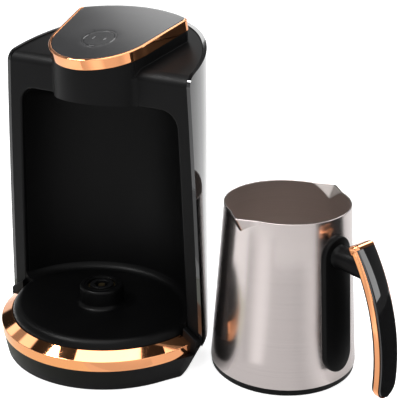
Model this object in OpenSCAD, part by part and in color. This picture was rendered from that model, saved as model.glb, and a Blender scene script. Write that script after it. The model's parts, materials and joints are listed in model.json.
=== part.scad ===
// Electric turkish coffee maker with its cordless pot.
// Origin: axis of the connector on the table. Front is -Y, up is +Z, millimetres.

/* [Tower] */
// Radius of the tower at the lower edge of its shell
tower_r = 80.5; // [79:0.5:83]
// How far the tower's axis lies ahead of the front face at that edge
tower_fwd = 20; // [18:0.5:22]
// Backward lean of the tower's axis in degrees
tower_lean = 6.6; // [5.5:0.1:7.5]
// Radius that the tower loses per millimetre of height
tower_taper = 0.0666; // [0.06:0.001:0.07]
// Height of the shell's lower edge
shell_z = 20; // [19:0.5:21]
// Height of the shell's rim at the front face
rim_z = 189.7; // [187:0.5:194]
// Slope of the top in degrees
top_tilt = 16; // [14:0.5:17]
// Wall of the glossy shell
shell_wall = 2.4; // [2:0.1:2.8]
// Wall of the top housing and of the base
housing_wall = 2.4; // [2:0.1:2.8]
// Drop of the shoulders below the shell's rim
rim_drop = 0.6; // [0.4:0.1:1.5]
// Radius of the shoulders' front edge
shoulder_round = 8; // [6:0.5:9]

/* [Pot bay] */
// Distance from the tower's outside to the bay
bay_margin = 11; // [10.5:0.25:11.5]
// Wall of the bay liner
liner_wall = 2; // [1.6:0.1:2.4]
// Height of the bay's ceiling at the front face
bay_top_z = 168; // [164:0.5:169]
// Radius between the bay's wall and its ceiling
bay_round = 11; // [8:0.5:14]
// Thickness of the front frame
frame_wall = 3; // [2.5:0.25:4]
// Height of the bay's floor
floor_z = 31; // [30:0.5:33]
// Thickness of the floor tray
floor_wall = 2.5; // [2:0.1:3]
// Radius of the floor tray's rounded edge
floor_round = 6; // [5:0.5:6.5]
// Radius of the cove between the floor and the bay's wall
cove_round = 6; // [4:0.5:8]

/* [Base] */
// Radius of the front of the base at its lower edge
base_r = 70; // [69:0.25:71]
// Radius of the front of the base under the trim
base_top_r = 72.3; // [71.5:0.1:72.8]
// Distance of the base's centre behind the front face
base_y = 10; // [8:0.5:11]
// Radius of the back of the base at its lower edge
skirt_low_r = 69; // [68:0.25:71]
// Radius of the back of the base under the tower
skirt_top_r = 78.5; // [78:0.25:79]
// How far the back of the base is centred ahead of the front face
skirt_fwd = 17; // [16:0.5:18]
// Direction in which the front of the base runs out to the tower's side, in degrees
flare_a = 30; // [26:0.5:34]
// Height of the feet under the base plate
foot_h = 0.7; // [0.5:0.1:2.5]
// Radius of a foot
foot_r = 7; // [5:0.5:7]
// Thickness of the base plate
plate_wall = 2; // [1.6:0.1:2.5]

/* [Base trim] */
// Height of the trim's lower edge
trim_low_z = 14.8; // [14:0.2:16]
// Radius of the trim's ridge
trim_ridge_r = 72.9; // [72:0.1:73.5]
// Height of the trim's ridge
trim_ridge_z = 21.6; // [20:0.2:22.5]
// Radius of the trim's inner edge
trim_inner_r = 65.6; // [65:0.2:66]
// Height of the trim's inner edge
trim_inner_z = 26; // [25.4:0.2:27]
// Distance of the trim's ends ahead of the front face
trim_end = 4; // [3:0.5:5]
// Height of the corner ledge beside the trim's end, at the bay
ledge_z = 31; // [28:0.5:32]
// Height of the corner ledge at the tower's side
ledge_low_z = 24; // [22:0.5:26]

/* [Head] */
// Height of the lid's sloping top plane above the connector
lid_z = 203; // [201:0.5:206]
// Radius of the lid's round front
lid_front_r = 35.5; // [34.5:0.25:36.5]
// Centre of that front, along the slope
lid_front_y = 13.7; // [12.5:0.25:14.5]
// Sideways place of the lid's back corners
lid_back_x = 37; // [35:0.5:38]
// Place of the lid's back corners along the slope
lid_back_y = 41; // [39:0.5:43]
// Radius of the lid's back corners
lid_back_r = 4.3; // [3:0.1:5]
// Bulge of the lid's back edge beyond its corners
lid_bulge = 8; // [6:0.5:10]
// Height of the lid's band
band_h = 7; // [6:0.25:8]
// Width of the band's top lip
band_lip = 1.8; // [1.4:0.1:2.4]
// Radius of the head block under the lid
nose_r = 34.5; // [34:0.25:35]
// How far the band overhangs the head block
nose_in = 0.3; // [0.2:0.1:0.8]
// Radius between the head block and the front face
nose_fillet = 5; // [3:0.5:6]
// Thickness of the control panel
panel_wall = 2.1; // [1.8:0.1:2.6]
// Drop of the panel below the band's lip
panel_drop = 0.3; // [0.2:0.1:0.6]

/* [Button] */
// Radius of the start button
btn_r = 9.6; // [8.5:0.1:10]
// Place of the button along the slope
btn_y = 6.9; // [5:0.5:9]
// Travel of the button
btn_travel = 0.8; // [0.5:0.1:1]
// Width of the ring lens round the button
lens_w = 1.35; // [1.1:0.05:1.6]
// Running gap of the button
btn_gap = 0.25; // [0.2:0.05:0.35]

/* [Connector] */
// Height of the boss above the floor
boss_h = 12.8; // [12:0.2:13.2]
// Radius of the boss
boss_r = 14.4; // [14:0.1:14.8]
// Radius of the fillet round the boss
boss_fillet = 3; // [2:0.25:3.5]
// Radius of the edge of the boss
boss_round = 1.6; // [1:0.1:2]
// Wall of the boss
boss_wall = 2.2; // [1.8:0.1:2.6]
// Middle radius of the ring slot
slot_r = 8.4; // [8:0.1:8.8]
// Width of the ring slot
slot_w = 1.6; // [1.4:0.1:1.8]
// Radius of the centre hole
hub_r = 4.6; // [4.2:0.1:5]
// Radius of the centre pin
pin_r = 2.2; // [1.8:0.1:2.4]

/* [Cord gland] */
// Bore for the cord
gland_bore_r = 3.1; // [2.6:0.1:3.4]
// Radius of the gland's neck
gland_r = 4.5; // [4.2:0.1:5]
// Radius of the gland's flanges
gland_flange_r = 6.5; // [6:0.1:7]
// Height of the gland
gland_z = 10; // [9.6:0.1:10.4]

/* [Pot] */
// Sideways place of the pot beside the machine
pot_x = 112; // [111.5:0.5:140]
// Distance of the pot behind the connector
pot_y = 44; // [40:1:60]
// Direction of the handle in degrees
handle_ang = -16.3; // [-60:0.1:20]
// Radius of the pot's steel at its lower edge
pot_r = 46.5; // [45:0.1:46.8]
// Radius of the pot's rim
rim_r = 39.2; // [38:0.1:41]
// Height of the pot
pot_h = 110; // [106:0.5:114]
// Wall of the steel
pot_wall = 0.9; // [0.8:0.05:1]
// Height of the pot's inner floor
pot_floor_z = 24; // [23:0.5:26]
// Height of the black ring under the steel
ring_h = 4.5; // [4:0.25:5.5]
// Depth of the recess for the boss
recess_h = 14; // [13.6:0.1:14.6]
// Radius of the recess for the boss
recess_r = 17.9; // [17.8:0.1:18.2]
// Length of a pouring lip down the wall
lip_len = 9.5; // [8:0.5:14]
// Half width of a pouring lip at the rim
lip_w = 13.5; // [10:0.5:15]
// Reach of a pouring lip beyond the rim
lip_out = 6.2; // [4:0.2:8]

/* [Handle] */
// Half width of the side strip
strip_w = 11.8; // [10:0.2:13]
// Height of the strip's lower end
strip_low_z = 12; // [8:0.5:16]
// Height of the strip's upper end
strip_top_z = 99; // [98:0.5:103]
// Thickness of the strip
strip_t = 2.6; // [2:0.1:3]
// Height of the handle's neck
neck_z = 87; // [85:0.5:88]
// Radius of the neck at the strip
neck_r = 6.5; // [6:0.1:7]
// Radius of the neck at the grip
neck_end_r = 8; // [7.5:0.1:8.2]
// Radius of the grip's curve
grip_arc_r = 130; // [120:1:145]
// Distance of the grip from the pot's axis
grip_x = 82.2; // [80:0.2:88]
// Height at which the grip stands upright
grip_z = 25; // [23:0.5:28]
// Angle of the grip's lower end on its curve
grip_low_a = -3; // [-6:0.1:0]
// Height of the grip's top on its curve
grip_top_z = 98.5; // [97:0.5:101]
// Slope of the grip's top cap in degrees
cap_tilt = 24; // [15:1:33]
// Width of the grip
grip_w = 16; // [14:0.2:17]
// Depth of the grip's inner half
grip_d = 5; // [4.5:0.1:6]
// Thickness of the grip's bezel
bezel_t = 2; // [1.6:0.1:2.6]
// Margin of the bezel round the glossy face
bezel_w = 0.9; // [0.6:0.1:1.5]
// Height of the glossy face above the bezel
insert_up = 1.2; // [0.8:0.1:1.6]
// Length of the bezel's top cap
cap_len = 3; // [2.4:0.1:3.6]

/* [Hidden] */
$fn = 96;

far = 300;          // larger than the object
eps = 0.5;          // overshoot of a cut
seam = 0.3;         // gap between two fixed mouldings
thin = 0.1;         // gap under a retained flange
crease = 0.02;      // overlap of two faces that run into each other

matt = "#1c1c1c";
gloss = "#101012";
copper = "#e8a070";
steel = "#b8b2ae";
brass = "#c9a34a";
board = "#1f6b3a";

lean_sin = sin(tower_lean);
lean_cos = cos(tower_lean);
tilt_sin = sin(top_tilt);
tilt_cos = cos(top_tilt);

// Height along the leaning axis of the point (y, z)
function lean_s(y, z) = (z - shell_z) * lean_cos + (y + tower_fwd) * lean_sin;
bay_top_s = lean_s(0, bay_top_z);

// Place at height z of the middle of the back wall's hollow, between liner and shell, x beside its centre
gap_r = tower_r - (shell_wall + bay_margin - liner_wall) / 2;
function gap_s(z) = (z - shell_z + gap_r * lean_sin) / (lean_cos + tower_taper * lean_sin);
function gap_y(z, x) = let (s = gap_s(z), r = gap_r - tower_taper * s)
    -tower_fwd + sqrt(r * r - x * x) * lean_cos + s * lean_sin;

// Places inside the lower edge of the base, in its front half and in its back half
function base_place(inset, a) = [0, base_y] + (base_r - inset) * [cos(a), sin(a)];
function skirt_place(inset, a) = [0, -skirt_fwd] + (skirt_low_r - inset) * [cos(a), sin(a)];

// Base
plate_top_z = foot_h + plate_wall;
riser_r = trim_inner_r + 1.4;
trim_face_in = 0.3;
riser_w = 5;
tray_r = trim_inner_r - seam;
tray_seat_z = trim_inner_z - 2.2;
front_hollow_r = base_r - housing_wall;
rear_plate_r = skirt_low_r - housing_wall - seam;
flare_sink = 0.1;
ledge_x = trim_inner_r + 0.4;
ledge_out_x = tower_r - 4.5;
skirt_roof_z = shell_z - 2;
foot_front = base_place(10.5, -47.7);
foot_rear = skirt_place(11.6, 54.9);
screw_r = 1.5;
screw_head_r = 3;
post_r = 3.6;
screw_front = base_place(7, -28);
screw_rear = skirt_place(8, 41);
screw_len = 9;

// Gland
gland_pad_r = gland_flange_r + 1.4;
gland_proud = 1.92;
gland_rise = (gland_z - foot_h) / (shell_z - foot_h);
gland_face_y = skirt_low_r + (skirt_top_r - skirt_low_r) * gland_rise - skirt_fwd + gland_proud;
gland_pad_len = 12;
gland_flange_t = 2.5;

// Connector
boss_top_z = floor_z + boss_h;
tray_hole_r = boss_r + 0.9;
body_r = boss_r - boss_wall - thin;
body_flange_r = 20;
body_low_z = 13;
body_flange_t = 4;
core_r = slot_r - slot_w / 2;
boss_hole_r = slot_r + slot_w / 2;
contact_t = 0.9;

// Head
trim_foot_y = (lid_front_y - lid_front_r) * tilt_cos + band_h * tilt_sin;
nose_y = trim_foot_y + nose_in + nose_r;
nose_back_y = lid_back_y * tilt_cos + band_h * tilt_sin - nose_in;
nose_back_x = lid_back_x - nose_in;
nose_bulge = lid_bulge * tilt_cos;
housing_z = bay_top_z + 4;
panel_top = -panel_drop;
panel_low = panel_top - panel_wall;
ledge_w = 1.6;
ledge_t = 1.6;
lens_in_r = btn_r + btn_gap;
lens_out_r = lens_in_r + lens_w;
lens_low = panel_low - 1.6;
lens_flange = 1.4;
btn_flange_r = btn_r + 1;
btn_flange_t = 1.2;
btn_flange_top = lens_low - thin;
btn_low = btn_flange_top - btn_flange_t;
plunger_top = btn_low - 3.6;
plunger_r = 1.7;
stem_r = 2.5;
switch_top = plunger_top - 1.4;
switch_h = 3.4;
switch_w = 6;
board_top = switch_top - switch_h;
board_t = 1.6;
board_x = 18;
board_y0 = -8;
board_y1 = 26;
board_post = [14.5, 13.5];
board_mid_y = (board_y0 + board_y1) / 2;
led_r = (lens_in_r + lens_out_r) / 2;

// Power board over the bay's ceiling
power_z = bay_top_z + 4;
power_x = 38;
power_y0 = 7;
power_y1 = 47;
power_post = [33, 15];
power_mid_y = (power_y0 + power_y1) / 2;
power_top_z = power_z + board_t;
power_post_h = 25;
power_screw_len = 6.5;
power_head_t = 1.2;
wire_r = 1.8;
wire_bend_r = wire_r + 0.2;
wire_z = 11;
wire_x = 12;
wire_bend = 6;
wire_tuck = 0.8;

// Pot
function pot_ring_r(z) = pot_r - (pot_r - rim_r) * (z - ring_h) / (pot_h - ring_h);
base_ring_r = pot_r - 0.6;
base_floor_t = 2.5;
collar_h = 2.5;
collar_r = pot_ring_r(ring_h + collar_h) - pot_wall - thin;
pot_screw_r = 1.3;
pot_screw_head_r = 2.5;
pot_screw_sink = 0.3;
pot_screw_head_t = 1.2;
pot_screw_in = 1.8;
connector_r = recess_r + 1.6;
heater_t = 3;
heater_z = pot_floor_z - heater_t;
heater_r = 36;
element_r = 31;
element_t = 3.2;
sensor_r = 3.8;
sensor_ring = connector_r + sensor_r + 0.3;
pot_post_r = 3.2;
lip_low_z = pot_h - lip_len;

// Grip
grip_cx = grip_x - grip_arc_r;
bezel_out = grip_arc_r + bezel_t;
insert_low = grip_arc_r + bezel_t / 2;
insert_out = bezel_out + insert_up;
bezel_half = grip_w / 2 + 0.4;
insert_half = bezel_half - bezel_w;
stud_r = 3.5;
stud_len = 11;
stud_bore = 3;
screw_shaft_r = 1.8;
screw_cap_t = 1.8;
grip_round_x = 1.5;
grip_round_r = 0.6;
grip_end_in = 2.4;
neck_short = 0.5;
grip_end_a = asin((grip_top_z + 12 - grip_z) / grip_arc_r);
grip_top_x = grip_cx + sqrt(pow(grip_arc_r, 2) - pow(grip_top_z - grip_z, 2));
head_x = grip_cx + sqrt(pow(grip_arc_r - grip_d, 2) - pow(neck_z - grip_z, 2));

// ---- helpers ----

module front_side(y = 0) {
    translate([-far, y - 2 * far, -far]) cube([2 * far, 2 * far, 2 * far]);
}

module rear_side(y = 0) {
    translate([-far, y, -far]) cube([2 * far, 2 * far, 2 * far]);
}

module above(z) {
    translate([-far, -far, z]) cube([2 * far, 2 * far, far]);
}

module slab(z0, z1) {
    translate([-far, -far, z0]) cube([2 * far, 2 * far, z1 - z0]);
}

// Everything below the sloping plane that passes through height z over the connector
module below_slope(z) {
    translate([0, 0, z]) rotate([top_tilt, 0, 0])
        translate([-far, -far, -2 * far]) cube([2 * far, 2 * far, 2 * far]);
}

// The lid's own frame: the sloping plane, with the connector's axis as origin
module on_slope() {
    translate([0, 0, lid_z]) rotate([top_tilt, 0, 0]) children();
}

// The tower's own frame: its leaning axis from the shell's lower edge
module on_lean() {
    translate([0, -tower_fwd, shell_z]) rotate([-tower_lean, 0, 0]) children();
}

// Leaning cone of the tower, inset from its outside
module tower_cone(inset) {
    low = -60;
    high = 260;
    on_lean() translate([0, 0, low])
        cylinder(h = high - low, r1 = tower_r - inset - tower_taper * low,
            r2 = tower_r - inset - tower_taper * high);
}

// Space of the pot bay, grown on all sides
module bay_space(grow = 0) {
    low = -40;
    top = bay_top_s + grow;
    round = bay_round + grow;
    low_r = tower_r - bay_margin + grow - tower_taper * low;
    high_r = tower_r - bay_margin + grow - tower_taper * (top - round);
    on_lean() rotate_extrude() union() {
        polygon([[0, low], [low_r, low], [high_r, top - round], [high_r - round, top], [0, top]]);
        intersection() {
            translate([high_r - round, top - round]) circle(r = round);
            translate([0, low]) square([far, top - low]);
        }
    }
}

// Slab across the leaning axis, from s0 to s1
module lean_slab(s0, s1) {
    on_lean() translate([-far, -far, s0]) cube([2 * far, 2 * far, s1 - s0]);
}

// Pear-shaped outline: a round front, two back corners and a bulging back edge
module pear(front_r, front_y, back_x, back_y, back_r, bulge) {
    corner = [back_x, back_y];
    side = corner - [0, front_y];
    u = side / norm(side);
    c = (front_r - back_r) / norm(side);
    n = u * c + [u[1], -u[0]] * sqrt(1 - c * c);
    a = [0, front_y] + n * (front_r - crease);
    b = corner + n * (back_r - crease);
    arc = (back_x * back_x + bulge * bulge) / (2 * bulge);
    arc_y = back_y + bulge - arc;
    out = (corner - [0, arc_y]) / arc;
    far_t = corner + out * (back_r + bulge);
    translate([0, front_y]) circle(r = front_r);
    for (s = [-1, 1]) translate([s * back_x, back_y]) circle(r = back_r);
    polygon([a, b, corner, [-back_x, back_y], [-b[0], b[1]], [-a[0], a[1]]]);
    intersection() {
        translate([0, arc_y]) circle(r = arc + back_r - crease);
        polygon([corner, far_t, [0, far_t[1] + 2 * bulge], [-far_t[0], far_t[1]], [-back_x, back_y]]);
    }
}

// Outline of the lid on the slope, grown sideways
module lid_outline(grow) {
    pear(lid_front_r + grow, lid_front_y, lid_back_x, lid_back_y, lid_back_r + grow, lid_bulge);
}

// Outline of the head block seen from above, grown sideways
module nose_outline(grow) {
    pear(nose_r + grow, nose_y, nose_back_x, nose_back_y, lid_back_r + grow, nose_bulge);
}

// Screw with a flat head, standing on its head
module screw(length, shaft_r, head_r, head_t) {
    cylinder(h = head_t, r = head_r);
    cylinder(h = length, r = shaft_r);
}

module mirrored() {
    children();
    mirror([1, 0, 0]) children();
}

// ---- base ----

// Cone round the axis (0, y) from the lower edge of the base, with radius r1 there and r2 at height z2
module base_cone(y, r1, r2, z2) {
    rise = (r2 - r1) / (z2 - foot_h);
    translate([0, y, foot_h - eps])
        cylinder(h = z2 - foot_h + 2 * eps, r1 = r1 - rise * eps, r2 = r2 + rise * eps);
}

module skirt_cone(inset) {
    base_cone(-skirt_fwd, skirt_low_r - inset, skirt_top_r - inset, shell_z);
}

module front_cone() {
    base_cone(base_y, base_r, base_top_r, trim_low_z);
}

// Flanks that run straight out from the front cone to the tower's sides
module flares() {
    lean = atan((base_top_r - base_r) / (trim_low_z - foot_h));
    mirrored() translate([0, base_y, foot_h]) rotate([0, 0, -flare_a])
        translate([base_r - flare_sink, 0, 0]) rotate([0, lean, 0])
            translate([-base_r, 0, -far]) cube([base_r, far, 2 * far]);
}

module base_solid() {
    intersection() {
        skirt_cone(0);
        union() {
            intersection() {
                union() {
                    front_cone();
                    flares();
                }
                slab(foot_h, trim_low_z);
                front_side(0);
            }
            intersection() {
                flares();
                slab(foot_h, shell_z);
                front_side(0);
                rear_side(-trim_end);
            }
            intersection() {
                slab(foot_h, shell_z);
                rear_side(0);
            }
        }
    }
    intersection() {
        translate([0, base_y, trim_low_z - housing_wall])
            cylinder(h = tray_seat_z - trim_low_z + housing_wall, r = riser_r);
        front_side(0);
    }
    mirrored() rotate([90, 0, 0]) linear_extrude(trim_end)
        polygon([[ledge_x, shell_z - 1], [ledge_x, ledge_z], [ledge_out_x, ledge_low_z], [ledge_out_x, shell_z - 1]]);
    translate([0, gland_face_y, gland_z]) rotate([90, 0, 0]) cylinder(h = gland_pad_len, r = gland_pad_r);
}

module base_hollow() {
    intersection() {
        union() {
            intersection() {
                translate([0, base_y, 0]) cylinder(h = trim_low_z - housing_wall, r = front_hollow_r);
                front_side(0);
            }
            intersection() {
                slab(0, skirt_roof_z);
                rear_side(0);
            }
        }
        difference() {
            skirt_cone(housing_wall);
            translate([0, gland_face_y, gland_z]) rotate([90, 0, 0])
                cylinder(h = gland_pad_len, r = gland_pad_r);
        }
    }
    intersection() {
        translate([0, base_y, 0]) cylinder(h = far, r = riser_r - riser_w);
        front_side(0);
    }
    cylinder(h = far, r = body_flange_r + 2);
}

module base_shell() {
    color(matt) difference() {
        union() {
            difference() {
                base_solid();
                base_hollow();
            }
            mirrored() {
                translate([screw_front[0], screw_front[1], plate_top_z])
                    cylinder(h = trim_low_z - plate_top_z, r = post_r);
                translate([screw_rear[0], screw_rear[1], plate_top_z])
                    cylinder(h = shell_z - 1 - plate_top_z, r = post_r);
            }
        }
        mirrored() for (p = [screw_front, screw_rear])
            translate([p[0], p[1], 0]) cylinder(h = foot_h + screw_len, r = screw_r);
        translate([0, gland_face_y + eps, gland_z]) rotate([90, 0, 0])
            cylinder(h = gland_pad_len + 2 * eps, r = gland_r);
        translate([0, gland_face_y, gland_z]) rotate([-90, 0, 0]) cylinder(h = far, r = gland_flange_r + seam);
        translate([wire_x, gap_y(shell_z, wire_x), plate_top_z]) cylinder(h = far, r = wire_bend_r + 0.8);
    }
}

module base_plate() {
    color(matt) difference() {
        intersection() {
            translate([0, -skirt_fwd, foot_h]) cylinder(h = plate_wall, r = rear_plate_r);
            union() {
                translate([0, base_y, 0]) cylinder(h = far, r = front_hollow_r - seam);
                rear_side(0);
            }
        }
        mirrored() {
            for (p = [screw_front, screw_rear]) translate([p[0], p[1], 0]) {
                cylinder(h = foot_h + plate_wall / 2, r = screw_head_r);
                cylinder(h = far, r = screw_r);
            }
            for (p = [foot_front, foot_rear]) translate([p[0], p[1], 0]) cylinder(h = far, r = foot_r / 3);
        }
    }
}

module base_screws() {
    color(steel) mirrored() for (p = [screw_front, screw_rear])
        translate([p[0], p[1], foot_h]) screw(screw_len, screw_r, screw_head_r, plate_wall / 2);
}

// Rubber foot with a peg through the base plate
module foot(place) {
    color("#151515") translate([place[0], place[1], 0]) {
        cylinder(h = foot_h, r = foot_r);
        cylinder(h = plate_top_z + 1, r = foot_r / 3);
    }
}

module base_trim() {
    color(copper) intersection() {
        translate([0, base_y, 0]) rotate_extrude() polygon([
            [riser_r, trim_low_z], [trim_ridge_r - trim_face_in, trim_low_z], [trim_ridge_r, trim_ridge_z],
            [trim_inner_r, trim_inner_z], [trim_inner_r - 0.2, tray_seat_z], [riser_r, tray_seat_z]]);
        front_side(-trim_end);
    }
}

module cord_gland() {
    color("#161616") translate([0, gland_face_y, gland_z]) rotate([90, 0, 0]) difference() {
        union() {
            translate([0, 0, -gland_flange_t]) cylinder(h = gland_flange_t, r = gland_flange_r);
            cylinder(h = gland_pad_len, r = gland_r);
            translate([0, 0, gland_pad_len]) cylinder(h = gland_flange_t, r = gland_flange_r);
        }
        translate([0, 0, -gland_flange_t - eps])
            cylinder(h = gland_pad_len + 2 * gland_flange_t + 2 * eps, r = gland_bore_r);
    }
}

// ---- floor and connector ----

module tray_profile() {
    edge_x = tray_r - floor_round;
    difference() {
        union() {
            square([edge_x, floor_z]);
            translate([edge_x, floor_z - floor_round]) circle(r = floor_round);
        }
        translate([0, -far]) square([edge_x, far + floor_z - floor_wall]);
        translate([edge_x, floor_z - floor_round]) circle(r = floor_round - floor_wall);
        translate([0, tray_seat_z - far]) square([far, far]);
    }
}

// Ring that rounds the corner between the floor and the bay's wall
module cove() {
    wall_r = tower_r - bay_margin - tower_taper * lean_s(0, floor_z);
    wall_y = -tower_fwd + (floor_z - shell_z) * lean_sin;
    translate([0, wall_y, floor_z]) rotate_extrude() difference() {
        translate([wall_r - cove_round, -floor_wall]) square([cove_round + 2, cove_round + floor_wall]);
        translate([wall_r - cove_round, cove_round]) circle(r = cove_round);
    }
}

module floor_tray() {
    color(matt) difference() {
        union() {
            intersection() {
                translate([0, base_y, 0]) rotate_extrude() tray_profile();
                union() {
                    front_side(0);
                    bay_space();
                }
            }
            intersection() {
                cove();
                bay_space();
                rear_side(0);
            }
        }
        cylinder(h = far, r = tray_hole_r);
    }
}

module connector_boss() {
    flange_z = floor_z - floor_wall - 1.5;
    color(matt) rotate_extrude() difference() {
        union() {
            translate([0, flange_z]) square([tray_hole_r, floor_z - flange_z]);
            translate([0, floor_z]) square([boss_r, boss_h - boss_round]);
            translate([0, floor_z]) square([boss_r - boss_round, boss_h]);
            translate([boss_r - boss_round, boss_top_z - boss_round]) circle(r = boss_round);
            translate([0, floor_z]) difference() {
                square([boss_r + boss_fillet, boss_fillet]);
                translate([boss_r + boss_fillet, boss_fillet]) circle(r = boss_fillet);
            }
        }
        translate([-far, 0]) square([far, far]);
        square([boss_r - boss_wall, boss_top_z - boss_wall]);
        square([boss_hole_r, far]);
    }
}

// Fixed half of the cordless connector, under the boss
module connector_body() {
    seat_z = floor_z - floor_wall;
    color("#2b2b2b") difference() {
        union() {
            translate([0, 0, body_low_z]) cylinder(h = boss_top_z - boss_wall - thin - body_low_z, r = body_r);
            translate([0, 0, body_low_z]) cylinder(h = boss_top_z - body_low_z, r = core_r);
            translate([0, 0, seat_z - body_flange_t]) difference() {
                cylinder(h = body_flange_t, r = body_flange_r);
                translate([0, 0, body_flange_t - 1.5]) cylinder(h = far, r = tray_hole_r);
            }
        }
        translate([0, 0, floor_z]) cylinder(h = far, r = hub_r);
        translate([0, 0, seat_z]) cylinder(h = far, r = pin_r);
        translate([0, 0, seat_z]) difference() {
            cylinder(h = far, r = slot_r + contact_t / 2);
            cylinder(h = far, r = slot_r - contact_t / 2);
        }
    }
}

module connector_contacts() {
    seat_z = floor_z - floor_wall;
    color(brass) {
        translate([0, 0, seat_z]) cylinder(h = boss_top_z - 0.8 - seat_z, r = pin_r);
        translate([0, 0, seat_z]) difference() {
            cylinder(h = boss_top_z - 1.6 - seat_z, r = slot_r + contact_t / 2);
            translate([0, 0, -eps]) cylinder(h = far, r = slot_r - contact_t / 2);
        }
    }
}

// ---- tower ----

module front_frame() {
    color(matt) difference() {
        intersection() {
            tower_cone(shell_wall);
            slab(shell_z, housing_z);
            rear_side(0);
            front_side(frame_wall);
        }
        bay_space();
    }
}

module bay_liner() {
    color("#141414") difference() {
        union() {
            intersection() {
                bay_space(liner_wall);
                rear_side(frame_wall);
                above(shell_z);
            }
            mirrored() for (s = [-1, 1])
                translate([power_post[0], power_mid_y + s * power_post[1], power_z - power_post_h])
                    cylinder(h = power_post_h, r = post_r);
        }
        bay_space();
        mirrored() for (s = [-1, 1])
            translate([power_post[0], power_mid_y + s * power_post[1], power_top_z + power_head_t - power_screw_len])
                cylinder(h = power_screw_len, r = screw_r);
    }
}

// Cut that rounds the front edge of a sloping top which starts at height z
module front_round(z) {
    round_z = z + shoulder_round * tan(top_tilt) - shoulder_round / tilt_cos;
    difference() {
        translate([-far, -eps, round_z])
            cube([2 * far, shoulder_round * (1 - tilt_sin) + eps, 2 * shoulder_round]);
        translate([-far, shoulder_round, round_z]) rotate([0, 90, 0])
            cylinder(h = 2 * far, r = shoulder_round + crease);
    }
}

module outer_shell() {
    color(gloss) difference() {
        intersection() {
            tower_cone(0);
            rear_side(0);
            above(shell_z);
            below_slope(rim_z);
        }
        tower_cone(shell_wall);
        front_round(rim_z);
    }
}

// Shoulders on both sides of the head, with a rounded front edge
module shoulders() {
    difference() {
        intersection() {
            tower_cone(shell_wall);
            rear_side(0);
            above(housing_z);
            below_slope(rim_z - rim_drop);
        }
        front_round(rim_z - rim_drop);
    }
}

// Concave corner between the head block and the front face, seen from above
module nose_corner() {
    reach = nose_r + nose_fillet;
    drop = nose_y + nose_fillet;
    x = sqrt(reach * reach - drop * drop);
    t = [x * nose_r / reach, nose_y - drop * nose_r / reach];
    difference() {
        polygon([[0, 0], [x, 0], [x, -nose_fillet], t, [0, t[1]]]);
        translate([x, -nose_fillet]) circle(r = nose_fillet + crease);
    }
}

module head_block(grow = 0) {
    intersection() {
        translate([0, 0, bay_top_z - far / 4]) linear_extrude(far) nose_outline(grow);
        below_slope(lid_z - band_h / tilt_cos);
        lean_slab(bay_top_s, far);
        union() {
            front_side(0);
            above(housing_z);
        }
    }
}

module top_housing() {
    skin = 2 * housing_wall;
    color(matt) difference() {
        union() {
            shoulders();
            head_block();
            mirrored() intersection() {
                translate([0, 0, bay_top_z - far / 4]) linear_extrude(far) nose_corner();
                lean_slab(bay_top_s, far);
                below_slope(rim_z - shoulder_round / 2);
            }
        }
        intersection() {
            translate([0, 0, bay_top_z - far / 4]) linear_extrude(far) nose_outline(-housing_wall);
            union() {
                front_side(0);
                above(housing_z - eps);
            }
        }
        intersection() {
            tower_cone(shell_wall + housing_wall);
            rear_side(skin);
            above(housing_z - eps);
            below_slope(rim_z - rim_drop - skin);
        }
    }
}

// Underside of the head, flush with the bay's ceiling
module nose_cover() {
    color(matt) intersection() {
        translate([0, 0, bay_top_z - far / 4]) linear_extrude(far) nose_outline(-housing_wall);
        lean_slab(bay_top_s, bay_top_s + liner_wall);
        front_side(0);
    }
}

// ---- lid and button, in the lid's own frame ----

module lid_trim() {
    color(copper) on_slope() difference() {
        translate([0, 0, -band_h]) linear_extrude(band_h) lid_outline(0);
        translate([0, 0, panel_low]) linear_extrude(far) lid_outline(-band_lip);
        translate([0, 0, -far]) linear_extrude(2 * far) lid_outline(-band_lip - ledge_w);
        translate([0, 0, -far + panel_low - ledge_t]) linear_extrude(far) lid_outline(-housing_wall - 0.4);
    }
}

module control_panel() {
    color("#26262a") on_slope() difference() {
        union() {
            translate([0, 0, panel_low]) linear_extrude(panel_wall) lid_outline(-band_lip);
            mirrored() for (s = [-1, 1])
                translate([board_post[0], board_mid_y + s * board_post[1], board_top])
                    cylinder(h = panel_low - board_top, r = 2.4);
        }
        translate([0, btn_y, panel_low - eps]) cylinder(h = far, r = lens_out_r);
        mirrored() for (s = [-1, 1])
            translate([board_post[0], board_mid_y + s * board_post[1], board_top - eps])
                cylinder(h = 6 + eps, r = 1);
    }
}

module light_ring() {
    color("#d8d8d8") on_slope() translate([0, btn_y, 0]) difference() {
        union() {
            translate([0, 0, lens_low]) cylinder(h = panel_top - thin - lens_low, r = lens_out_r);
            translate([0, 0, lens_low]) cylinder(h = panel_low - lens_low, r = lens_out_r + lens_flange);
        }
        translate([0, 0, lens_low - eps]) cylinder(h = far, r = lens_in_r);
    }
}

module start_button() {
    color("#2c2c30") on_slope() translate([0, btn_y, 0]) {
        translate([0, 0, btn_low]) cylinder(h = panel_top - btn_low, r = btn_r);
        translate([0, 0, btn_low]) cylinder(h = btn_flange_t, r = btn_flange_r);
        translate([0, 0, plunger_top]) cylinder(h = btn_low - plunger_top, r = stem_r);
    }
}

module switch_plunger() {
    color("#d0d0d0") on_slope() translate([0, btn_y, switch_top - 1])
        cylinder(h = plunger_top - switch_top + 1, r = plunger_r);
}

module tact_switch() {
    color("#3a3a3a") on_slope() translate([0, btn_y, board_top]) difference() {
        translate([-switch_w / 2, -switch_w / 2, 0]) cube([switch_w, switch_w, switch_h]);
        translate([0, 0, switch_h - 1 - btn_travel - btn_gap]) cylinder(h = far, r = plunger_r + btn_gap);
    }
}

module control_board() {
    color(board) on_slope() difference() {
        translate([-board_x, board_y0, board_top - board_t]) cube([2 * board_x, board_y1 - board_y0, board_t]);
        mirrored() for (s = [-1, 1])
            translate([board_post[0], board_mid_y + s * board_post[1], board_top - board_t - eps])
                cylinder(h = far, r = 1);
    }
}

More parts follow.
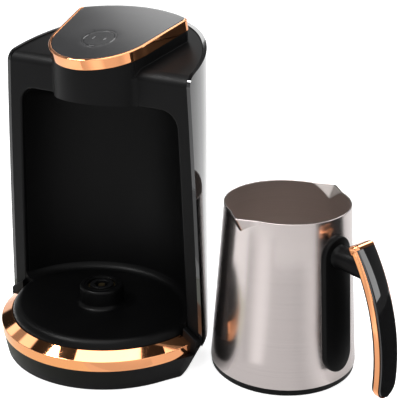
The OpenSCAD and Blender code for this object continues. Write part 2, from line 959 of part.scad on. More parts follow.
module board_screws() {
    color(steel) on_slope() mirrored() for (s = [-1, 1])
        translate([board_post[0], board_mid_y + s * board_post[1], board_top - board_t - 1])
            screw(board_t + 6, 1, 2, 1);
}

module leds() {
    led_w = 3;
    color("#e8e8e0") on_slope() translate([0, btn_y, board_top]) for (a = [45 : 90 : 315])
        rotate([0, 0, a]) translate([led_r - led_w / 2, -led_w / 2, 0]) cube([led_w, led_w, 1.5]);
}

module buzzer() {
    color("#181818") on_slope() translate([0, board_y1 - 6, board_top]) cylinder(h = 4.5, r = 5);
}

// ---- power board ----

module power_board() {
    color(board) difference() {
        translate([-power_x, power_y0, power_z]) cube([2 * power_x, power_y1 - power_y0, board_t]);
        mirrored() for (s = [-1, 1])
            translate([power_post[0], power_mid_y + s * power_post[1], power_z - eps])
                cylinder(h = far, r = screw_r);
    }
}

module power_screws() {
    color(steel) mirrored() for (s = [-1, 1])
        translate([power_post[0], power_mid_y + s * power_post[1], power_top_z + power_head_t])
            rotate([180, 0, 0]) screw(power_screw_len, screw_r, screw_head_r, power_head_t);
}

module on_power_board(x, y, size) {
    translate([x - size[0] / 2, power_y0 + y, power_top_z]) cube(size);
}

module relay() {
    color("#30363c") on_power_board(16, 20, [15, 18, 12]);
}

module transformer() {
    color("#c8b048") on_power_board(-14, 20, [22, 17, 11]);
}

module terminal_block() {
    color("#3c8a5a") on_power_board(0, 4, [22, 8, 9]);
}

// Mains wires: along the base, up the hollow of the back wall and over to the power board
module wire_harness() {
    start_y = sqrt(pow(body_r, 2) - pow(wire_x - wire_r, 2));
    top_z = power_z + board_t / 2;
    low = [gap_y(wire_z, wire_x), wire_z];
    high = [gap_y(top_z, wire_x), top_z];
    rise = atan2(high[1] - low[1], high[0] - low[0]);
    low_cut = wire_bend * tan(rise / 2);
    high_cut = wire_bend * tan((180 - rise) / 2);
    up = (high - low) / norm(high - low);
    color("#202020") translate([wire_x, 0, 0]) rotate([90, 0, 90]) {
        translate([start_y, wire_z, 0]) rotate([0, 90, 0])
            cylinder(h = low[0] - low_cut - start_y + wire_tuck, r = wire_r);
        translate([low[0] - low_cut, wire_z + wire_bend, 0]) rotate([0, 0, -90])
            rotate_extrude(angle = rise) translate([wire_bend, 0]) circle(r = wire_bend_r);
        translate(low + up * (low_cut - wire_tuck)) rotate([0, 90, rise])
            cylinder(h = norm(high - low) - low_cut - high_cut + 2 * wire_tuck, r = wire_r);
        translate([high[0] - high_cut, top_z - wire_bend, 0]) rotate([0, 0, rise - 90])
            rotate_extrude(angle = 180 - rise) translate([wire_bend, 0]) circle(r = wire_bend_r);
        translate([power_y1, top_z, 0]) rotate([0, 90, 0])
            cylinder(h = high[0] - high_cut - power_y1 + wire_tuck, r = wire_r);
    }
}

// ---- pot, in its own frame with the handle along +X ----

module at_pot() {
    translate([pot_x, pot_y, 0]) rotate([0, 0, handle_ang]) children();
}

// Cone of the pot's wall from z0 to z1, grown outwards
module pot_cone(z0, z1, grow = 0) {
    translate([0, 0, z0]) cylinder(h = z1 - z0, r1 = pot_ring_r(z0) + grow, r2 = pot_ring_r(z1) + grow);
}

// Pouring lip: a pyramid that stands on its point against the wall
lip_points = [[pot_ring_r(lip_low_z), 0, lip_low_z], [rim_r + lip_out, 0, pot_h],
    [rim_r * cos(asin(lip_w / rim_r)), lip_w, pot_h], [rim_r * cos(asin(lip_w / rim_r)), -lip_w, pot_h]];
lip_normal = cross(lip_points[1] - lip_points[0], lip_points[2] - lip_points[0]);
lip_up = pot_wall * norm(lip_normal) / lip_normal[2];

module lips() {
    for (a = [-90, 90]) rotate([0, 0, a])
        polyhedron(lip_points, [[1, 3, 2], [3, 1, 0], [1, 2, 0], [2, 3, 0]]);
}

module pot_shell() {
    color(steel) at_pot() difference() {
        intersection() {
            union() {
                pot_cone(ring_h, pot_h);
                lips();
            }
            slab(0, pot_h);
        }
        pot_cone(pot_floor_z + 1, pot_h + eps, -pot_wall);
        pot_cone(ring_h - eps, pot_floor_z, -pot_wall);
        translate([0, 0, lip_up]) lips();
    }
}

module pot_base() {
    color("#141414") at_pot() difference() {
        union() {
            rotate_extrude() polygon([[recess_r, 0], [base_ring_r - 1, 0], [base_ring_r, 1],
                [base_ring_r, ring_h], [collar_r, ring_h], [collar_r, ring_h + collar_h],
                [base_ring_r - 3, ring_h + collar_h], [base_ring_r - 3, base_floor_t],
                [connector_r, base_floor_t], [connector_r, recess_h], [recess_r, recess_h]]);
            for (a = [90, 210, 330]) rotate([0, 0, a]) translate([sensor_ring, 0, 0])
                cylinder(h = heater_z, r = pot_post_r);
        }
        for (a = [90, 210, 330]) rotate([0, 0, a]) translate([sensor_ring, 0, -eps]) {
            cylinder(h = pot_screw_sink + pot_screw_head_t + eps, r = pot_screw_head_r + 0.2);
            cylinder(h = far, r = pot_screw_r);
        }
    }
}

module pot_base_screws() {
    color(steel) at_pot() for (a = [90, 210, 330]) rotate([0, 0, a])
        translate([sensor_ring, 0, pot_screw_sink])
            screw(heater_z + pot_screw_in - pot_screw_sink, pot_screw_r, pot_screw_head_r, pot_screw_head_t);
}

module heater_plate() {
    color("#a8a8a8") at_pot() difference() {
        translate([0, 0, heater_z]) cylinder(h = heater_t, r = heater_r);
        for (a = [90, 210, 330]) rotate([0, 0, a])
            translate([sensor_ring, 0, heater_z - eps]) cylinder(h = pot_screw_in + eps, r = pot_screw_r);
    }
}

module heating_element() {
    color("#8c8c8c") at_pot() rotate_extrude()
        translate([element_r, heater_z - element_t]) circle(r = element_t);
}

module thermostat() {
    color("#d8d0c0") at_pot() rotate([0, 0, 30])
        translate([sensor_ring, 0, heater_z - 5]) cylinder(h = 5, r = sensor_r);
}

// Moving half of the cordless connector, over the recess
module pot_connector() {
    color("#262626") at_pot() difference() {
        translate([0, 0, recess_h]) cylinder(h = heater_z - recess_h, r = connector_r);
        translate([0, 0, recess_h - eps]) cylinder(h = 5, r = pin_r + 0.6);
        translate([0, 0, recess_h - eps]) difference() {
            cylinder(h = 4.5, r = slot_r + slot_w / 2 + 0.3);
            cylinder(h = 4.5, r = slot_r - slot_w / 2 - 0.3);
        }
    }
}

// ---- handle ----

module strip_plan() {
    for (z = [strip_low_z + strip_w, strip_top_z - strip_w]) translate([0, z]) circle(r = strip_w);
    translate([-strip_w, strip_low_z + strip_w])
        square([2 * strip_w, strip_top_z - strip_low_z - 2 * strip_w]);
}

module side_strip() {
    color(matt) at_pot() difference() {
        intersection() {
            pot_cone(ring_h, pot_h, strip_t);
            rotate([90, 0, 90]) linear_extrude(far) strip_plan();
        }
        pot_cone(ring_h - eps, pot_h + eps);
        translate([0, 0, neck_z]) rotate([0, 90, 0]) cylinder(h = far, r = stud_r);
    }
}

// Frame of the grip's curve: its section is drawn with x outwards and y across
module on_grip(a0) {
    translate([grip_cx, 0, grip_z]) rotate([90, 0, 0]) rotate([0, 0, a0]) children();
}

// Sweep of a section along the grip's curve, past its top
module grip_sweep() {
    on_grip(grip_low_a) rotate_extrude(angle = grip_end_a - grip_low_a) children();
}

// Everything below the sloping top of the grip, lowered by some distance
module below_cap(drop) {
    translate([grip_top_x, 0, grip_top_z]) rotate([0, -cap_tilt, 0])
        translate([-far, -far, -2 * far - drop]) cube([2 * far, 2 * far, 2 * far]);
}

// Half round between two radii that closes the grip's lower end
module grip_end(r0, r1, half0, half1) {
    on_grip(grip_low_a) intersection() {
        translate([r0, 0, 0]) rotate([0, 90, 0]) cylinder(h = r1 - r0, r1 = half0 - crease, r2 = half1 - crease);
        translate([0, -far, -far]) cube([far, far + eps, 2 * far]);
    }
}

// Band of the grip between two radii, with a round lower end
module grip_band(r0, r1, half) {
    grip_sweep() translate([r0, -half]) square([r1 - r0, 2 * half]);
    grip_end(r0, r1, half, half);
}

// Full depth of the grip above the underside of its cap
module cap_block() {
    difference() {
        grip_sweep() translate([grip_arc_r - grip_d, -bezel_half])
            square([insert_out - grip_arc_r + grip_d, 2 * bezel_half]);
        below_cap(cap_len);
    }
}

module handle_body() {
    inner = grip_arc_r - grip_d;
    color(matt) at_pot() difference() {
        union() {
            grip_sweep() intersection() {
                translate([inner, -grip_w / 2]) square([grip_d, grip_w]);
                translate([grip_arc_r + grip_round_x, 0]) circle(r = grip_w / 2 + grip_round_r);
            }
            grip_end(inner, grip_arc_r, grip_w / 2 - grip_end_in, grip_w / 2);
            intersection() {
                translate([rim_r, 0, neck_z]) rotate([0, 90, 0])
                    cylinder(h = grip_arc_r - grip_d + grip_cx - rim_r, r1 = neck_r, r2 = neck_end_r);
                on_grip(0) translate([0, 0, -far]) cylinder(h = 2 * far, r = grip_arc_r - neck_short);
            }
        }
        cap_block();
        pot_cone(ring_h, pot_h, strip_t);
        translate([0, 0, neck_z]) rotate([0, 90, 0]) cylinder(h = rim_r + stud_len, r = stud_r);
        translate([0, 0, neck_z]) rotate([0, 90, 0]) cylinder(h = far, r = screw_shaft_r);
        translate([head_x, 0, neck_z]) rotate([0, 90, 0]) cylinder(h = far, r = stud_r);
    }
}

module handle_trim() {
    color(copper) at_pot() difference() {
        intersection() {
            union() {
                grip_band(grip_arc_r, bezel_out, bezel_half);
                cap_block();
            }
            below_cap(0);
        }
        intersection() {
            grip_band(insert_low, insert_out + eps, insert_half);
            below_cap(cap_len);
        }
    }
}

module handle_insert() {
    color(gloss) at_pot() intersection() {
        grip_band(insert_low, insert_out, insert_half);
        below_cap(cap_len);
    }
}

// Stud welded to the pot's wall inside the neck
module handle_bracket() {
    color(steel) at_pot() difference() {
        translate([0, 0, neck_z]) rotate([0, 90, 0]) cylinder(h = rim_r + stud_len, r = stud_r);
        pot_cone(ring_h, pot_h);
        translate([rim_r + stud_bore, 0, neck_z]) rotate([0, 90, 0]) cylinder(h = far, r = screw_shaft_r);
    }
}

module handle_screw() {
    color(steel) at_pot() translate([head_x + screw_cap_t, 0, neck_z]) rotate([0, -90, 0])
        screw(head_x + screw_cap_t - rim_r - stud_bore - 1, screw_shaft_r, stud_r, screw_cap_t);
}

base_shell();
base_plate();
foot([-foot_front[0], foot_front[1]]);  // foot_front_left
foot(foot_front);  // foot_front_right
foot([-foot_rear[0], foot_rear[1]]);  // foot_rear_left
foot(foot_rear);  // foot_rear_right
base_screws();
base_trim();
cord_gland();
floor_tray();
connector_boss();
connector_body();
connector_contacts();
front_frame();
bay_liner();
outer_shell();
top_housing();
nose_cover();
lid_trim();
control_panel();
light_ring();
start_button();
switch_plunger();
tact_switch();
control_board();
board_screws();
leds();
buzzer();
power_board();
power_screws();
relay();
transformer();
terminal_block();
wire_harness();
pot_shell();
pot_base();
pot_base_screws();
heater_plate();
heating_element();
thermostat();
pot_connector();
side_strip();
handle_body();
handle_trim();
handle_insert();
handle_bracket();
handle_screw();
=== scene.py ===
# %% [markdown]
# # Electric Turkish coffee maker with its cordless pot
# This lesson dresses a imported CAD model. The CAD solids arrive as fixed bodies: the machine, its
# start button and the loose pot. Each visible piece is then remade with rounded edges and real
# finishes, and rides on the body that its solid belongs to. All lengths in the lesson are
# millimetres, as in the CAD source, and one factor turns them into Blender's metres.

# %% Load the frame
import json
import math

import bmesh
import bpy
from mathutils import Matrix, Vector


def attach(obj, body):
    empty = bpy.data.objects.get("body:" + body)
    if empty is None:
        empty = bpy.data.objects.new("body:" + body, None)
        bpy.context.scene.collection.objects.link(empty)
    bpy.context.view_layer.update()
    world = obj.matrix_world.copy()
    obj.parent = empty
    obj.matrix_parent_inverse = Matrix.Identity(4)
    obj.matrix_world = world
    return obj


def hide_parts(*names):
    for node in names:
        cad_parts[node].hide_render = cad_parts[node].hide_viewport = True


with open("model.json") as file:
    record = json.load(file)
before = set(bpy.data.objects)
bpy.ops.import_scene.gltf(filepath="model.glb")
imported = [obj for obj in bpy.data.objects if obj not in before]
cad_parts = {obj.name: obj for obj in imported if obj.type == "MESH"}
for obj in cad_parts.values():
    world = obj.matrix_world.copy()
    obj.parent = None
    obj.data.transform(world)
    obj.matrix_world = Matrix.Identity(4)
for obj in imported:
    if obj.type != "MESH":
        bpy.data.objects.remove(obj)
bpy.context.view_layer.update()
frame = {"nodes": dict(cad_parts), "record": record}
MM = 0.001
scene = bpy.context.scene

# %% [markdown]
# ## Camera
# A long lens from a little above keeps the tower's sides nearly parallel, as in a catalogue view.
# A camera can be aimed by a constraint at a target. Here its place is known in the object's own
# frame, so it is set directly: "back" is the direction from the object to the camera.

# %% Camera
CAMERA_AT = Vector((365.0, -462.2, 323.4))
CAMERA_TURN = math.radians(32.0)
CAMERA_TILT = math.radians(20.7)
LENS = 88.53

camera = bpy.data.objects.new("camera", bpy.data.cameras.new("camera"))
scene.collection.objects.link(camera)
scene.camera = camera
back = Vector((math.sin(CAMERA_TURN) * math.cos(CAMERA_TILT),
               -math.cos(CAMERA_TURN) * math.cos(CAMERA_TILT), math.sin(CAMERA_TILT)))
camera.location = CAMERA_AT * MM
camera.rotation_mode = "QUATERNION"
camera.rotation_quaternion = (-back).to_track_quat("-Z", "Y")
camera.data.lens = LENS
camera.data.clip_start, camera.data.clip_end = 0.05, 20.0
print("camera at", [round(x, 3) for x in camera.location])

# %% [markdown]
# ## Studio
# Black plastic, copper plating and brushed steel have little colour of their own: they show the
# room. A world of one plain grey would leave every glossy side a flat patch. So this world has
# brighter and darker walls, and a few soft patches of sky on top of them. Only the surfaces see
# them: for the camera the world is plain white.

# %% Node helpers
def add_node(tree, kind, place, **values):
    """A node of that kind, with its sockets (From_Min for "From Min") or its own settings filled in."""
    node = tree.nodes.new(kind)
    node.location = place
    for key, value in values.items():
        label = key.replace("_", " ")
        if label in node.inputs:
            node.inputs[label].default_value = value
        else:
            setattr(node, key, value)
    return node


def link(tree, *pairs):
    """Links pairs of sockets, each from an output to an input."""
    for one, two in pairs:
        tree.links.new(one, two)


def empty_tree(owner):
    """The node tree of a world or a material, with nothing in it."""
    owner.use_nodes = True
    owner.node_tree.nodes.clear()
    return owner.node_tree


# %% Turn and ramp helpers
def turn_share(tree, vector):
    """Nodes for a direction's angle about the vertical: 0 to 1 stands for -180 to 180 degrees."""
    split = add_node(tree, "ShaderNodeSeparateXYZ", (-900, 0))
    turn = add_node(tree, "ShaderNodeMath", (-700, 0), operation="ARCTAN2")
    share = add_node(tree, "ShaderNodeMapRange", (-500, 0), From_Min=-math.pi, From_Max=math.pi)
    link(tree, (vector, split.inputs[0]), (split.outputs["Y"], turn.inputs[0]),
         (split.outputs["X"], turn.inputs[1]), (turn.outputs[0], share.inputs["Value"]))
    return share.outputs[0]


def add_ramp(tree, source, steps, blend="LINEAR"):
    """A colour ramp with steps of (position, colour) that reads a source; returns its output."""
    ramp = add_node(tree, "ShaderNodeValToRGB", (-300, 0))
    ramp.color_ramp.interpolation = blend
    while len(ramp.color_ramp.elements) < len(steps):
        ramp.color_ramp.elements.new(0.5)
    for element, (at, colour) in zip(ramp.color_ramp.elements, steps):
        element.position = at
        element.color = (*colour, 1)
    link(tree, (source, ramp.inputs[0]))
    return ramp.outputs[0]


# %% Patch of sky
patch = bpy.data.node_groups.new("sky_patch", "ShaderNodeTree")
for label, kind in (("Direction", "Vector"), ("Towards", "Vector"), ("Inner", "Float"), ("Outer", "Float"),
                    ("Level", "Float"), ("Around", "Float")):
    patch.interface.new_socket(label, in_out="INPUT", socket_type="NodeSocket" + kind)
patch.interface.new_socket("Value", in_out="OUTPUT", socket_type="NodeSocketFloat")
start = add_node(patch, "NodeGroupInput", (-600, 0))
end = add_node(patch, "NodeGroupOutput", (600, 0))
aim = add_node(patch, "ShaderNodeVectorMath", (-300, 100), operation="DOT_PRODUCT")
inside = add_node(patch, "ShaderNodeMapRange", (-50, 100), interpolation_type="SMOOTHSTEP")
blend = add_node(patch, "ShaderNodeMix", (250, 0), data_type="FLOAT")
link(patch, (start.outputs["Direction"], aim.inputs[0]), (start.outputs["Towards"], aim.inputs[1]),
     (aim.outputs["Value"], inside.inputs["Value"]), (start.outputs["Outer"], inside.inputs["From Min"]),
     (start.outputs["Inner"], inside.inputs["From Max"]), (inside.outputs[0], blend.inputs[0]),
     (start.outputs["Around"], blend.inputs[2]), (start.outputs["Level"], blend.inputs[3]),
     (blend.outputs[0], end.inputs["Value"]))
print("sockets of a patch:", [socket.name for socket in start.outputs if socket.name])

# %% Walls
WALLS = [  # share of the way round, level
    (0.0, 0.30), (0.08, 0.45), (0.16, 0.45), (0.235, 1.1), (0.29, 0.5), (0.40, 0.6), (0.46, 0.9),
    (0.50, 0.10), (0.66, 0.08), (0.69, 0.7), (0.72, 0.7), (0.75, 0.12), (0.86, 0.12), (1.0, 0.30)]
world = bpy.data.worlds.new("studio")
scene.world = world
sky = empty_tree(world)
direction = add_node(sky, "ShaderNodeTexCoord", (-1100, 0)).outputs["Generated"]
split = add_node(sky, "ShaderNodeSeparateXYZ", (-900, -200))
walls = add_ramp(sky, turn_share(sky, direction), [(at, (level,) * 3) for at, level in WALLS], "B_SPLINE")
height = add_node(sky, "ShaderNodeMapRange", (-500, -200), interpolation_type="SMOOTHSTEP",
                  From_Min=0.2, From_Max=0.6, To_Min=1.0, To_Max=0.5)
room = add_node(sky, "ShaderNodeMath", (-100, 0), operation="MULTIPLY")
link(sky, (direction, split.inputs[0]), (split.outputs["Z"], height.inputs["Value"]),
     (walls, room.inputs[0]), (height.outputs[0], room.inputs[1]))
print("walls:", len(WALLS), "levels")

# %% Patches
PATCHES = [  # azimuth, elevation, radius and soft edge in degrees, level
    (-48, 34, 42, 12, 1.2),
    (-170, 60, 34, 6, 0.03),
    (176, 34, 10, 4, 0.40),
    (149, 3, 6, 4, 0.95),
    (162, 16, 8, 3, 0.02),
    (171, 27, 3, 2, 1.8),
    (-178, 42, 4, 2, 1.8),
    (46, 71, 9, 3, 0.03),
    (67, 46, 13, 4, 1.2),
]
value = room.outputs[0]
for k, (azimuth, elevation, radius, soft, level) in enumerate(PATCHES):
    flat, up = math.radians(azimuth), math.radians(elevation)
    spot = add_node(sky, "ShaderNodeGroup", (100 + 180 * k, -100), node_tree=patch, Level=level,
                    Towards=(math.cos(flat) * math.cos(up), math.sin(flat) * math.cos(up), math.sin(up)),
                    Inner=math.cos(math.radians(radius)), Outer=math.cos(math.radians(radius + soft)))
    link(sky, (direction, spot.inputs["Direction"]), (value, spot.inputs["Around"]))
    value = spot.outputs["Value"]
print("patches:", len(PATCHES))

# %% World
path = add_node(sky, "ShaderNodeLightPath", (1500, 300))
seen = add_node(sky, "ShaderNodeMix", (1700, 0), data_type="FLOAT")
seen.inputs[3].default_value = 1.0
background = add_node(sky, "ShaderNodeBackground", (1900, 0), Strength=1.0)
out = add_node(sky, "ShaderNodeOutputWorld", (2100, 0))
link(sky, (path.outputs["Is Camera Ray"], seen.inputs[0]), (value, seen.inputs[2]),
     (seen.outputs[0], background.inputs["Color"]), (background.outputs[0], out.inputs["Surface"]))
scene.view_settings.view_transform = "Standard"
print("world nodes:", len(sky.nodes))

# %% [markdown]
# ## Lamps
# Point lamps are the simplest, but they leave small hard dots on gloss. Soft boxes give the long,
# quiet highlights of a studio: a large one overhead, a strip on the right, one behind the object
# that lights its rims, and a small one at the left for the matt shoulders.

# %% Lamps
def soft_box(name, at, towards, size, power):
    """A rectangular soft light that shines from one point towards another, in mm."""
    lamp = bpy.data.lights.new(name, "AREA")
    lamp.shape = "RECTANGLE"
    lamp.size, lamp.size_y = size[0] * MM, size[1] * MM
    lamp.energy = power
    holder = bpy.data.objects.new(name, lamp)
    scene.collection.objects.link(holder)
    holder.location = Vector(at) * MM
    holder.rotation_mode = "QUATERNION"
    holder.rotation_quaternion = (Vector(towards) - Vector(at)).to_track_quat("-Z", "Y")
    holder.visible_camera = False


soft_box("overhead_box", (-15, -40, 900), (-15, -40, 0), (460, 960), 5.4)
soft_box("right_strip", (820, 260, 420), (60, 0, 100), (160, 620), 0.8)
soft_box("back_box", (280, 760, 680), (80, 30, 80), (420, 260), 1.6)
soft_box("shoulder_strip", (-198, -200, 470), (0, 5, 190), (200, 60), 1.5)

# %% [markdown]
# ## Floor
# The floor is a sheet of white paper that keeps the object's shadow. A stronger lamp would make it
# white, but would also bleach the object. So the paper glows a little by itself: most of all for
# the camera, and for reflections only where it is far away. From below it is clear, so that the
# object's underside can be looked at.

# %% Floor
REACH = 3.0
floor_mesh = bpy.data.meshes.new("floor")
floor_mesh.from_pydata([(-REACH, -REACH, 0), (REACH, -REACH, 0), (REACH, REACH, 0), (-REACH, REACH, 0)],
                       [], [(0, 1, 2, 3)])
floor = bpy.data.objects.new("floor", floor_mesh)
floor.location.z = -0.0002
scene.collection.objects.link(floor)
print("floor:", 2 * REACH, "m wide")

# %% Paper
PAPER_WHITE, PAPER_GLOW = 0.9, 0.75
paper = bpy.data.materials.new("floor_paper")
floor_mesh.materials.append(paper)
tree = empty_tree(paper)
place = add_node(tree, "ShaderNodeTexCoord", (-800, -500))
reach = add_node(tree, "ShaderNodeVectorMath", (-600, -500), operation="LENGTH")
far_glow = add_node(tree, "ShaderNodeMapRange", (-400, -500), interpolation_type="SMOOTHSTEP",
                    From_Min=0.45, From_Max=1.1, To_Min=0.06, To_Max=0.5)
path = add_node(tree, "ShaderNodeLightPath", (-400, -200))
level = add_node(tree, "ShaderNodeMix", (-150, -320), data_type="FLOAT")
level.inputs[3].default_value = PAPER_GLOW
matt = add_node(tree, "ShaderNodeBsdfDiffuse", (0, 0), Color=(*[PAPER_WHITE] * 3, 1))
glow = add_node(tree, "ShaderNodeEmission", (0, -200), Color=(1, 1, 1, 1))
both = add_node(tree, "ShaderNodeAddShader", (250, 0))
below = add_node(tree, "ShaderNodeNewGeometry", (250, 300))
clear = add_node(tree, "ShaderNodeBsdfTransparent", (250, -200))
pick = add_node(tree, "ShaderNodeMixShader", (450, 0))
out = add_node(tree, "ShaderNodeOutputMaterial", (650, 0))
link(tree, (place.outputs["Object"], reach.inputs[0]), (reach.outputs["Value"], far_glow.inputs["Value"]),
     (path.outputs["Is Camera Ray"], level.inputs[0]), (far_glow.outputs[0], level.inputs[2]),
     (level.outputs[0], glow.inputs["Strength"]), (matt.outputs[0], both.inputs[0]),
     (glow.outputs[0], both.inputs[1]), (below.outputs["Backfacing"], pick.inputs[0]),
     (both.outputs[0], pick.inputs[1]), (clear.outputs[0], pick.inputs[2]),
     (pick.outputs[0], out.inputs["Surface"]))
print("paper nodes:", len(tree.nodes))

# %% [markdown]
# ## Cards
# In a studio, cards stand round a shiny product where the camera doesn't see them: they only show
# up as reflections. More patches in the world would do for a wide curve, but a card near the object
# is mirrored small and sharp. One graded card hangs at the left behind the machine, and the sloping
# panel mirrors it from dark in front to a soft grey at the back. The others lie on the floor: a
# pale one in front of the copper crescent, two with duller and brighter sectors for the steel
# wall, and a dark one beside the grip.

# %% Gradient of a card
def card_share(tree, gradient):
    """Nodes that give a place's share, 0 to 1, of a gradient: along a line, or round a centre."""
    place = add_node(tree, "ShaderNodeTexCoord", (-1300, 0))
    moved = add_node(tree, "ShaderNodeVectorMath", (-1100, 0), operation="SUBTRACT")
    moved.inputs[1].default_value = Vector(gradient["centre"]) * MM
    link(tree, (place.outputs["Object"], moved.inputs[0]))
    if "axis" not in gradient:
        return turn_share(tree, moved.outputs["Vector"])
    reach = gradient["half_length"] * MM
    along = add_node(tree, "ShaderNodeVectorMath", (-900, 0), operation="DOT_PRODUCT")
    along.inputs[1].default_value = Vector(gradient["axis"]).normalized()
    share = add_node(tree, "ShaderNodeMapRange", (-500, 0), From_Min=-reach, From_Max=reach)
    link(tree, (moved.outputs["Vector"], along.inputs[0]), (along.outputs["Value"], share.inputs["Value"]))
    return share.outputs[0]


# %% Card helper
def set_card(name, points, columns, gradient, steps):
    """A card from a grid of points that only reflections see; steps are (share, level or colour)."""
    rows = len(points) // columns
    mesh = bpy.data.meshes.new(name)
    mesh.from_pydata([Vector(p) * MM for p in points], [],
                     [(r * columns + c, r * columns + c + 1, (r + 1) * columns + c + 1, (r + 1) * columns + c)
                      for r in range(rows - 1) for c in range(columns - 1)])
    card = bpy.data.objects.new(name, mesh)
    scene.collection.objects.link(card)
    card.visible_camera = card.visible_diffuse = card.visible_shadow = card.visible_transmission = False
    material = bpy.data.materials.new(name)
    mesh.materials.append(material)
    tree = empty_tree(material)
    shades = [(at, Vector((level,) * 3 if isinstance(level, float) else level)) for at, level in steps]
    top = max(max(shade) for at, shade in shades)
    colour = add_ramp(tree, card_share(tree, gradient), [(at, shade / top) for at, shade in shades])
    light = add_node(tree, "ShaderNodeEmission", (0, 0), Strength=top)
    out = add_node(tree, "ShaderNodeOutputMaterial", (200, 0))
    link(tree, (colour, light.inputs["Color"]), (light.outputs[0], out.inputs["Surface"]))
    print("card", name, "faces", len(mesh.polygons))


# %% Places and levels of the cards
def sector(centre, radii, z, first, last, step=4):
    """Grid of points of a flat ring's sector, angles in degrees."""
    return [(centre[0] + r * math.cos(math.radians(a)), centre[1] + r * math.sin(math.radians(a)), z)
            for a in range(first, last + 1, step) for r in radii]


def by_turn(*steps):
    """Steps given by an angle in degrees, as shares of the whole turn."""
    return [((turn + 180) / 360, level) for turn, level in steps]


# %% Card of the panel
set_card("panel_card", [(-430, 130, 400), (-222, 120, 527), (-430, 500, 400), (-222, 480, 527)], 2,
         dict(axis=(0.3, 0.95, 0.1), centre=(-300, 294, 494), half_length=100),
         [(0.0, 0.16), (0.2, 0.2), (0.5, 0.55), (0.8, 2.5), (1.0, 3.0)])

# %% Card of the crescent
BASE_Y = 10.0
set_card("crescent_card", sector((0.0, BASE_Y), (74.0, 128.0), 0.4, -165, -41), 2,
         dict(axis=(1, 0, 0), centre=(0, 0, 0), half_length=130),
         [(0.0, (0.98, 1.0, 0.88)), (1.0, (1.02, 1.05, 0.9))])

# %% Cards of the pot
POT_AT = (112.0, 44.0, 0.0)
STREAK_AT = (115.0, 2.0, 0.0)
set_card("streak_card", sector(STREAK_AT, (48.0, 360.0), 1.0, -132, -80), 2, dict(centre=STREAK_AT),
         by_turn((-128, 0.8), (-122, 0.9), (-117, 1.05), (-113, 1.2), (-107, 1.4), (-100, 1.44),
                 (-92, 1.38), (-87, 1.12), (-81, 0.92)))
set_card("pot_foot_card", sector(POT_AT, (46.8, 140.0, 320.0), 0.8, -122, -18), 3, dict(centre=POT_AT),
         by_turn((-88, 0.95), (-54, 0.89), (-43, 0.81), (-35, 0.9), (-26, 1.1), (-18, 1.2)))
set_card("grip_card", [(186, 12, 0.5), (2900, -500, 0.5), (186, 140, 0.5), (2900, 2600, 0.5)], 2,
         dict(axis=(1, 0.35, 0), centre=(335, 50, 0), half_length=140), [(0.0, 0.02), (1.0, 0.03)])

# %% [markdown]
# ## Shared effects
# No real surface is quite even. An image texture could show that, but it has a fixed sharpness and
# has to be laid on every piece, while noise nodes work at any scale. Three effects are used by
# several materials, so each is a shader node group with named sockets. "Moulded grain" is the fine
# spark-eroded texture of a plastic tool: two noises, one fine and one coarse. "Handling marks"
# breaks up a gloss with very faint wipes, so that it isn't a perfect mirror. "Brushed rings" draws
# the hair-thin circular lines that a brushing belt leaves on steel.

# %% Group helper
def new_group(name, **sizes):
    """An empty effect group with a Vector and these sizes as inputs; returns it and its two end nodes."""
    group = bpy.data.node_groups.new(name, "ShaderNodeTree")
    group.interface.new_socket("Vector", in_out="INPUT", socket_type="NodeSocketVector")
    for label, number in sizes.items():
        socket = group.interface.new_socket(label, in_out="INPUT", socket_type="NodeSocketFloat")
        socket.default_value = number
    for label in ("Mask", "Height"):
        group.interface.new_socket(label, in_out="OUTPUT", socket_type="NodeSocketFloat")
    return group, add_node(group, "NodeGroupInput", (-900, 0)), add_node(group, "NodeGroupOutput", (900, 0))


# %% Moulded grain
grain, start, end = new_group("moulded_grain", Scale=1800.0)
fine = add_node(grain, "ShaderNodeTexNoise", (-500, 150), Detail=3.0, Roughness=0.55)
coarse = add_node(grain, "ShaderNodeTexNoise", (-500, -150), Detail=2.0)
wide = add_node(grain, "ShaderNodeMath", (-700, -200), operation="MULTIPLY")
wide.inputs[1].default_value = 0.03
mask = add_node(grain, "ShaderNodeMix", (-100, 0), data_type="FLOAT", Factor=0.6)
for noise in (fine, coarse):
    link(grain, (start.outputs["Vector"], noise.inputs["Vector"]))
link(grain, (start.outputs["Scale"], fine.inputs["Scale"]), (start.outputs["Scale"], wide.inputs[0]),
     (wide.outputs[0], coarse.inputs["Scale"]), (fine.outputs["Fac"], mask.inputs[2]),
     (coarse.outputs["Fac"], mask.inputs[3]), (mask.outputs[0], end.inputs["Mask"]),
     (fine.outputs["Fac"], end.inputs["Height"]))

# %% Handling marks
marks, start, end = new_group("handling_marks", Scale=28.0)
stretch = add_node(marks, "ShaderNodeMapping", (-700, 0), Scale=(1.0, 1.0, 0.35), Rotation=(0.4, 0.3, 0.0))
cloud = add_node(marks, "ShaderNodeTexNoise", (-400, 0), Detail=5.0, Roughness=0.6, Distortion=0.6)
limit = add_node(marks, "ShaderNodeMapRange", (-100, 0), interpolation_type="SMOOTHSTEP",
                 From_Min=0.4, From_Max=0.75)
link(marks, (start.outputs["Vector"], stretch.inputs["Vector"]), (stretch.outputs[0], cloud.inputs["Vector"]),
     (start.outputs["Scale"], cloud.inputs["Scale"]), (cloud.outputs["Fac"], limit.inputs["Value"]),
     (limit.outputs[0], end.inputs["Mask"]), (cloud.outputs["Fac"], end.inputs["Height"]))

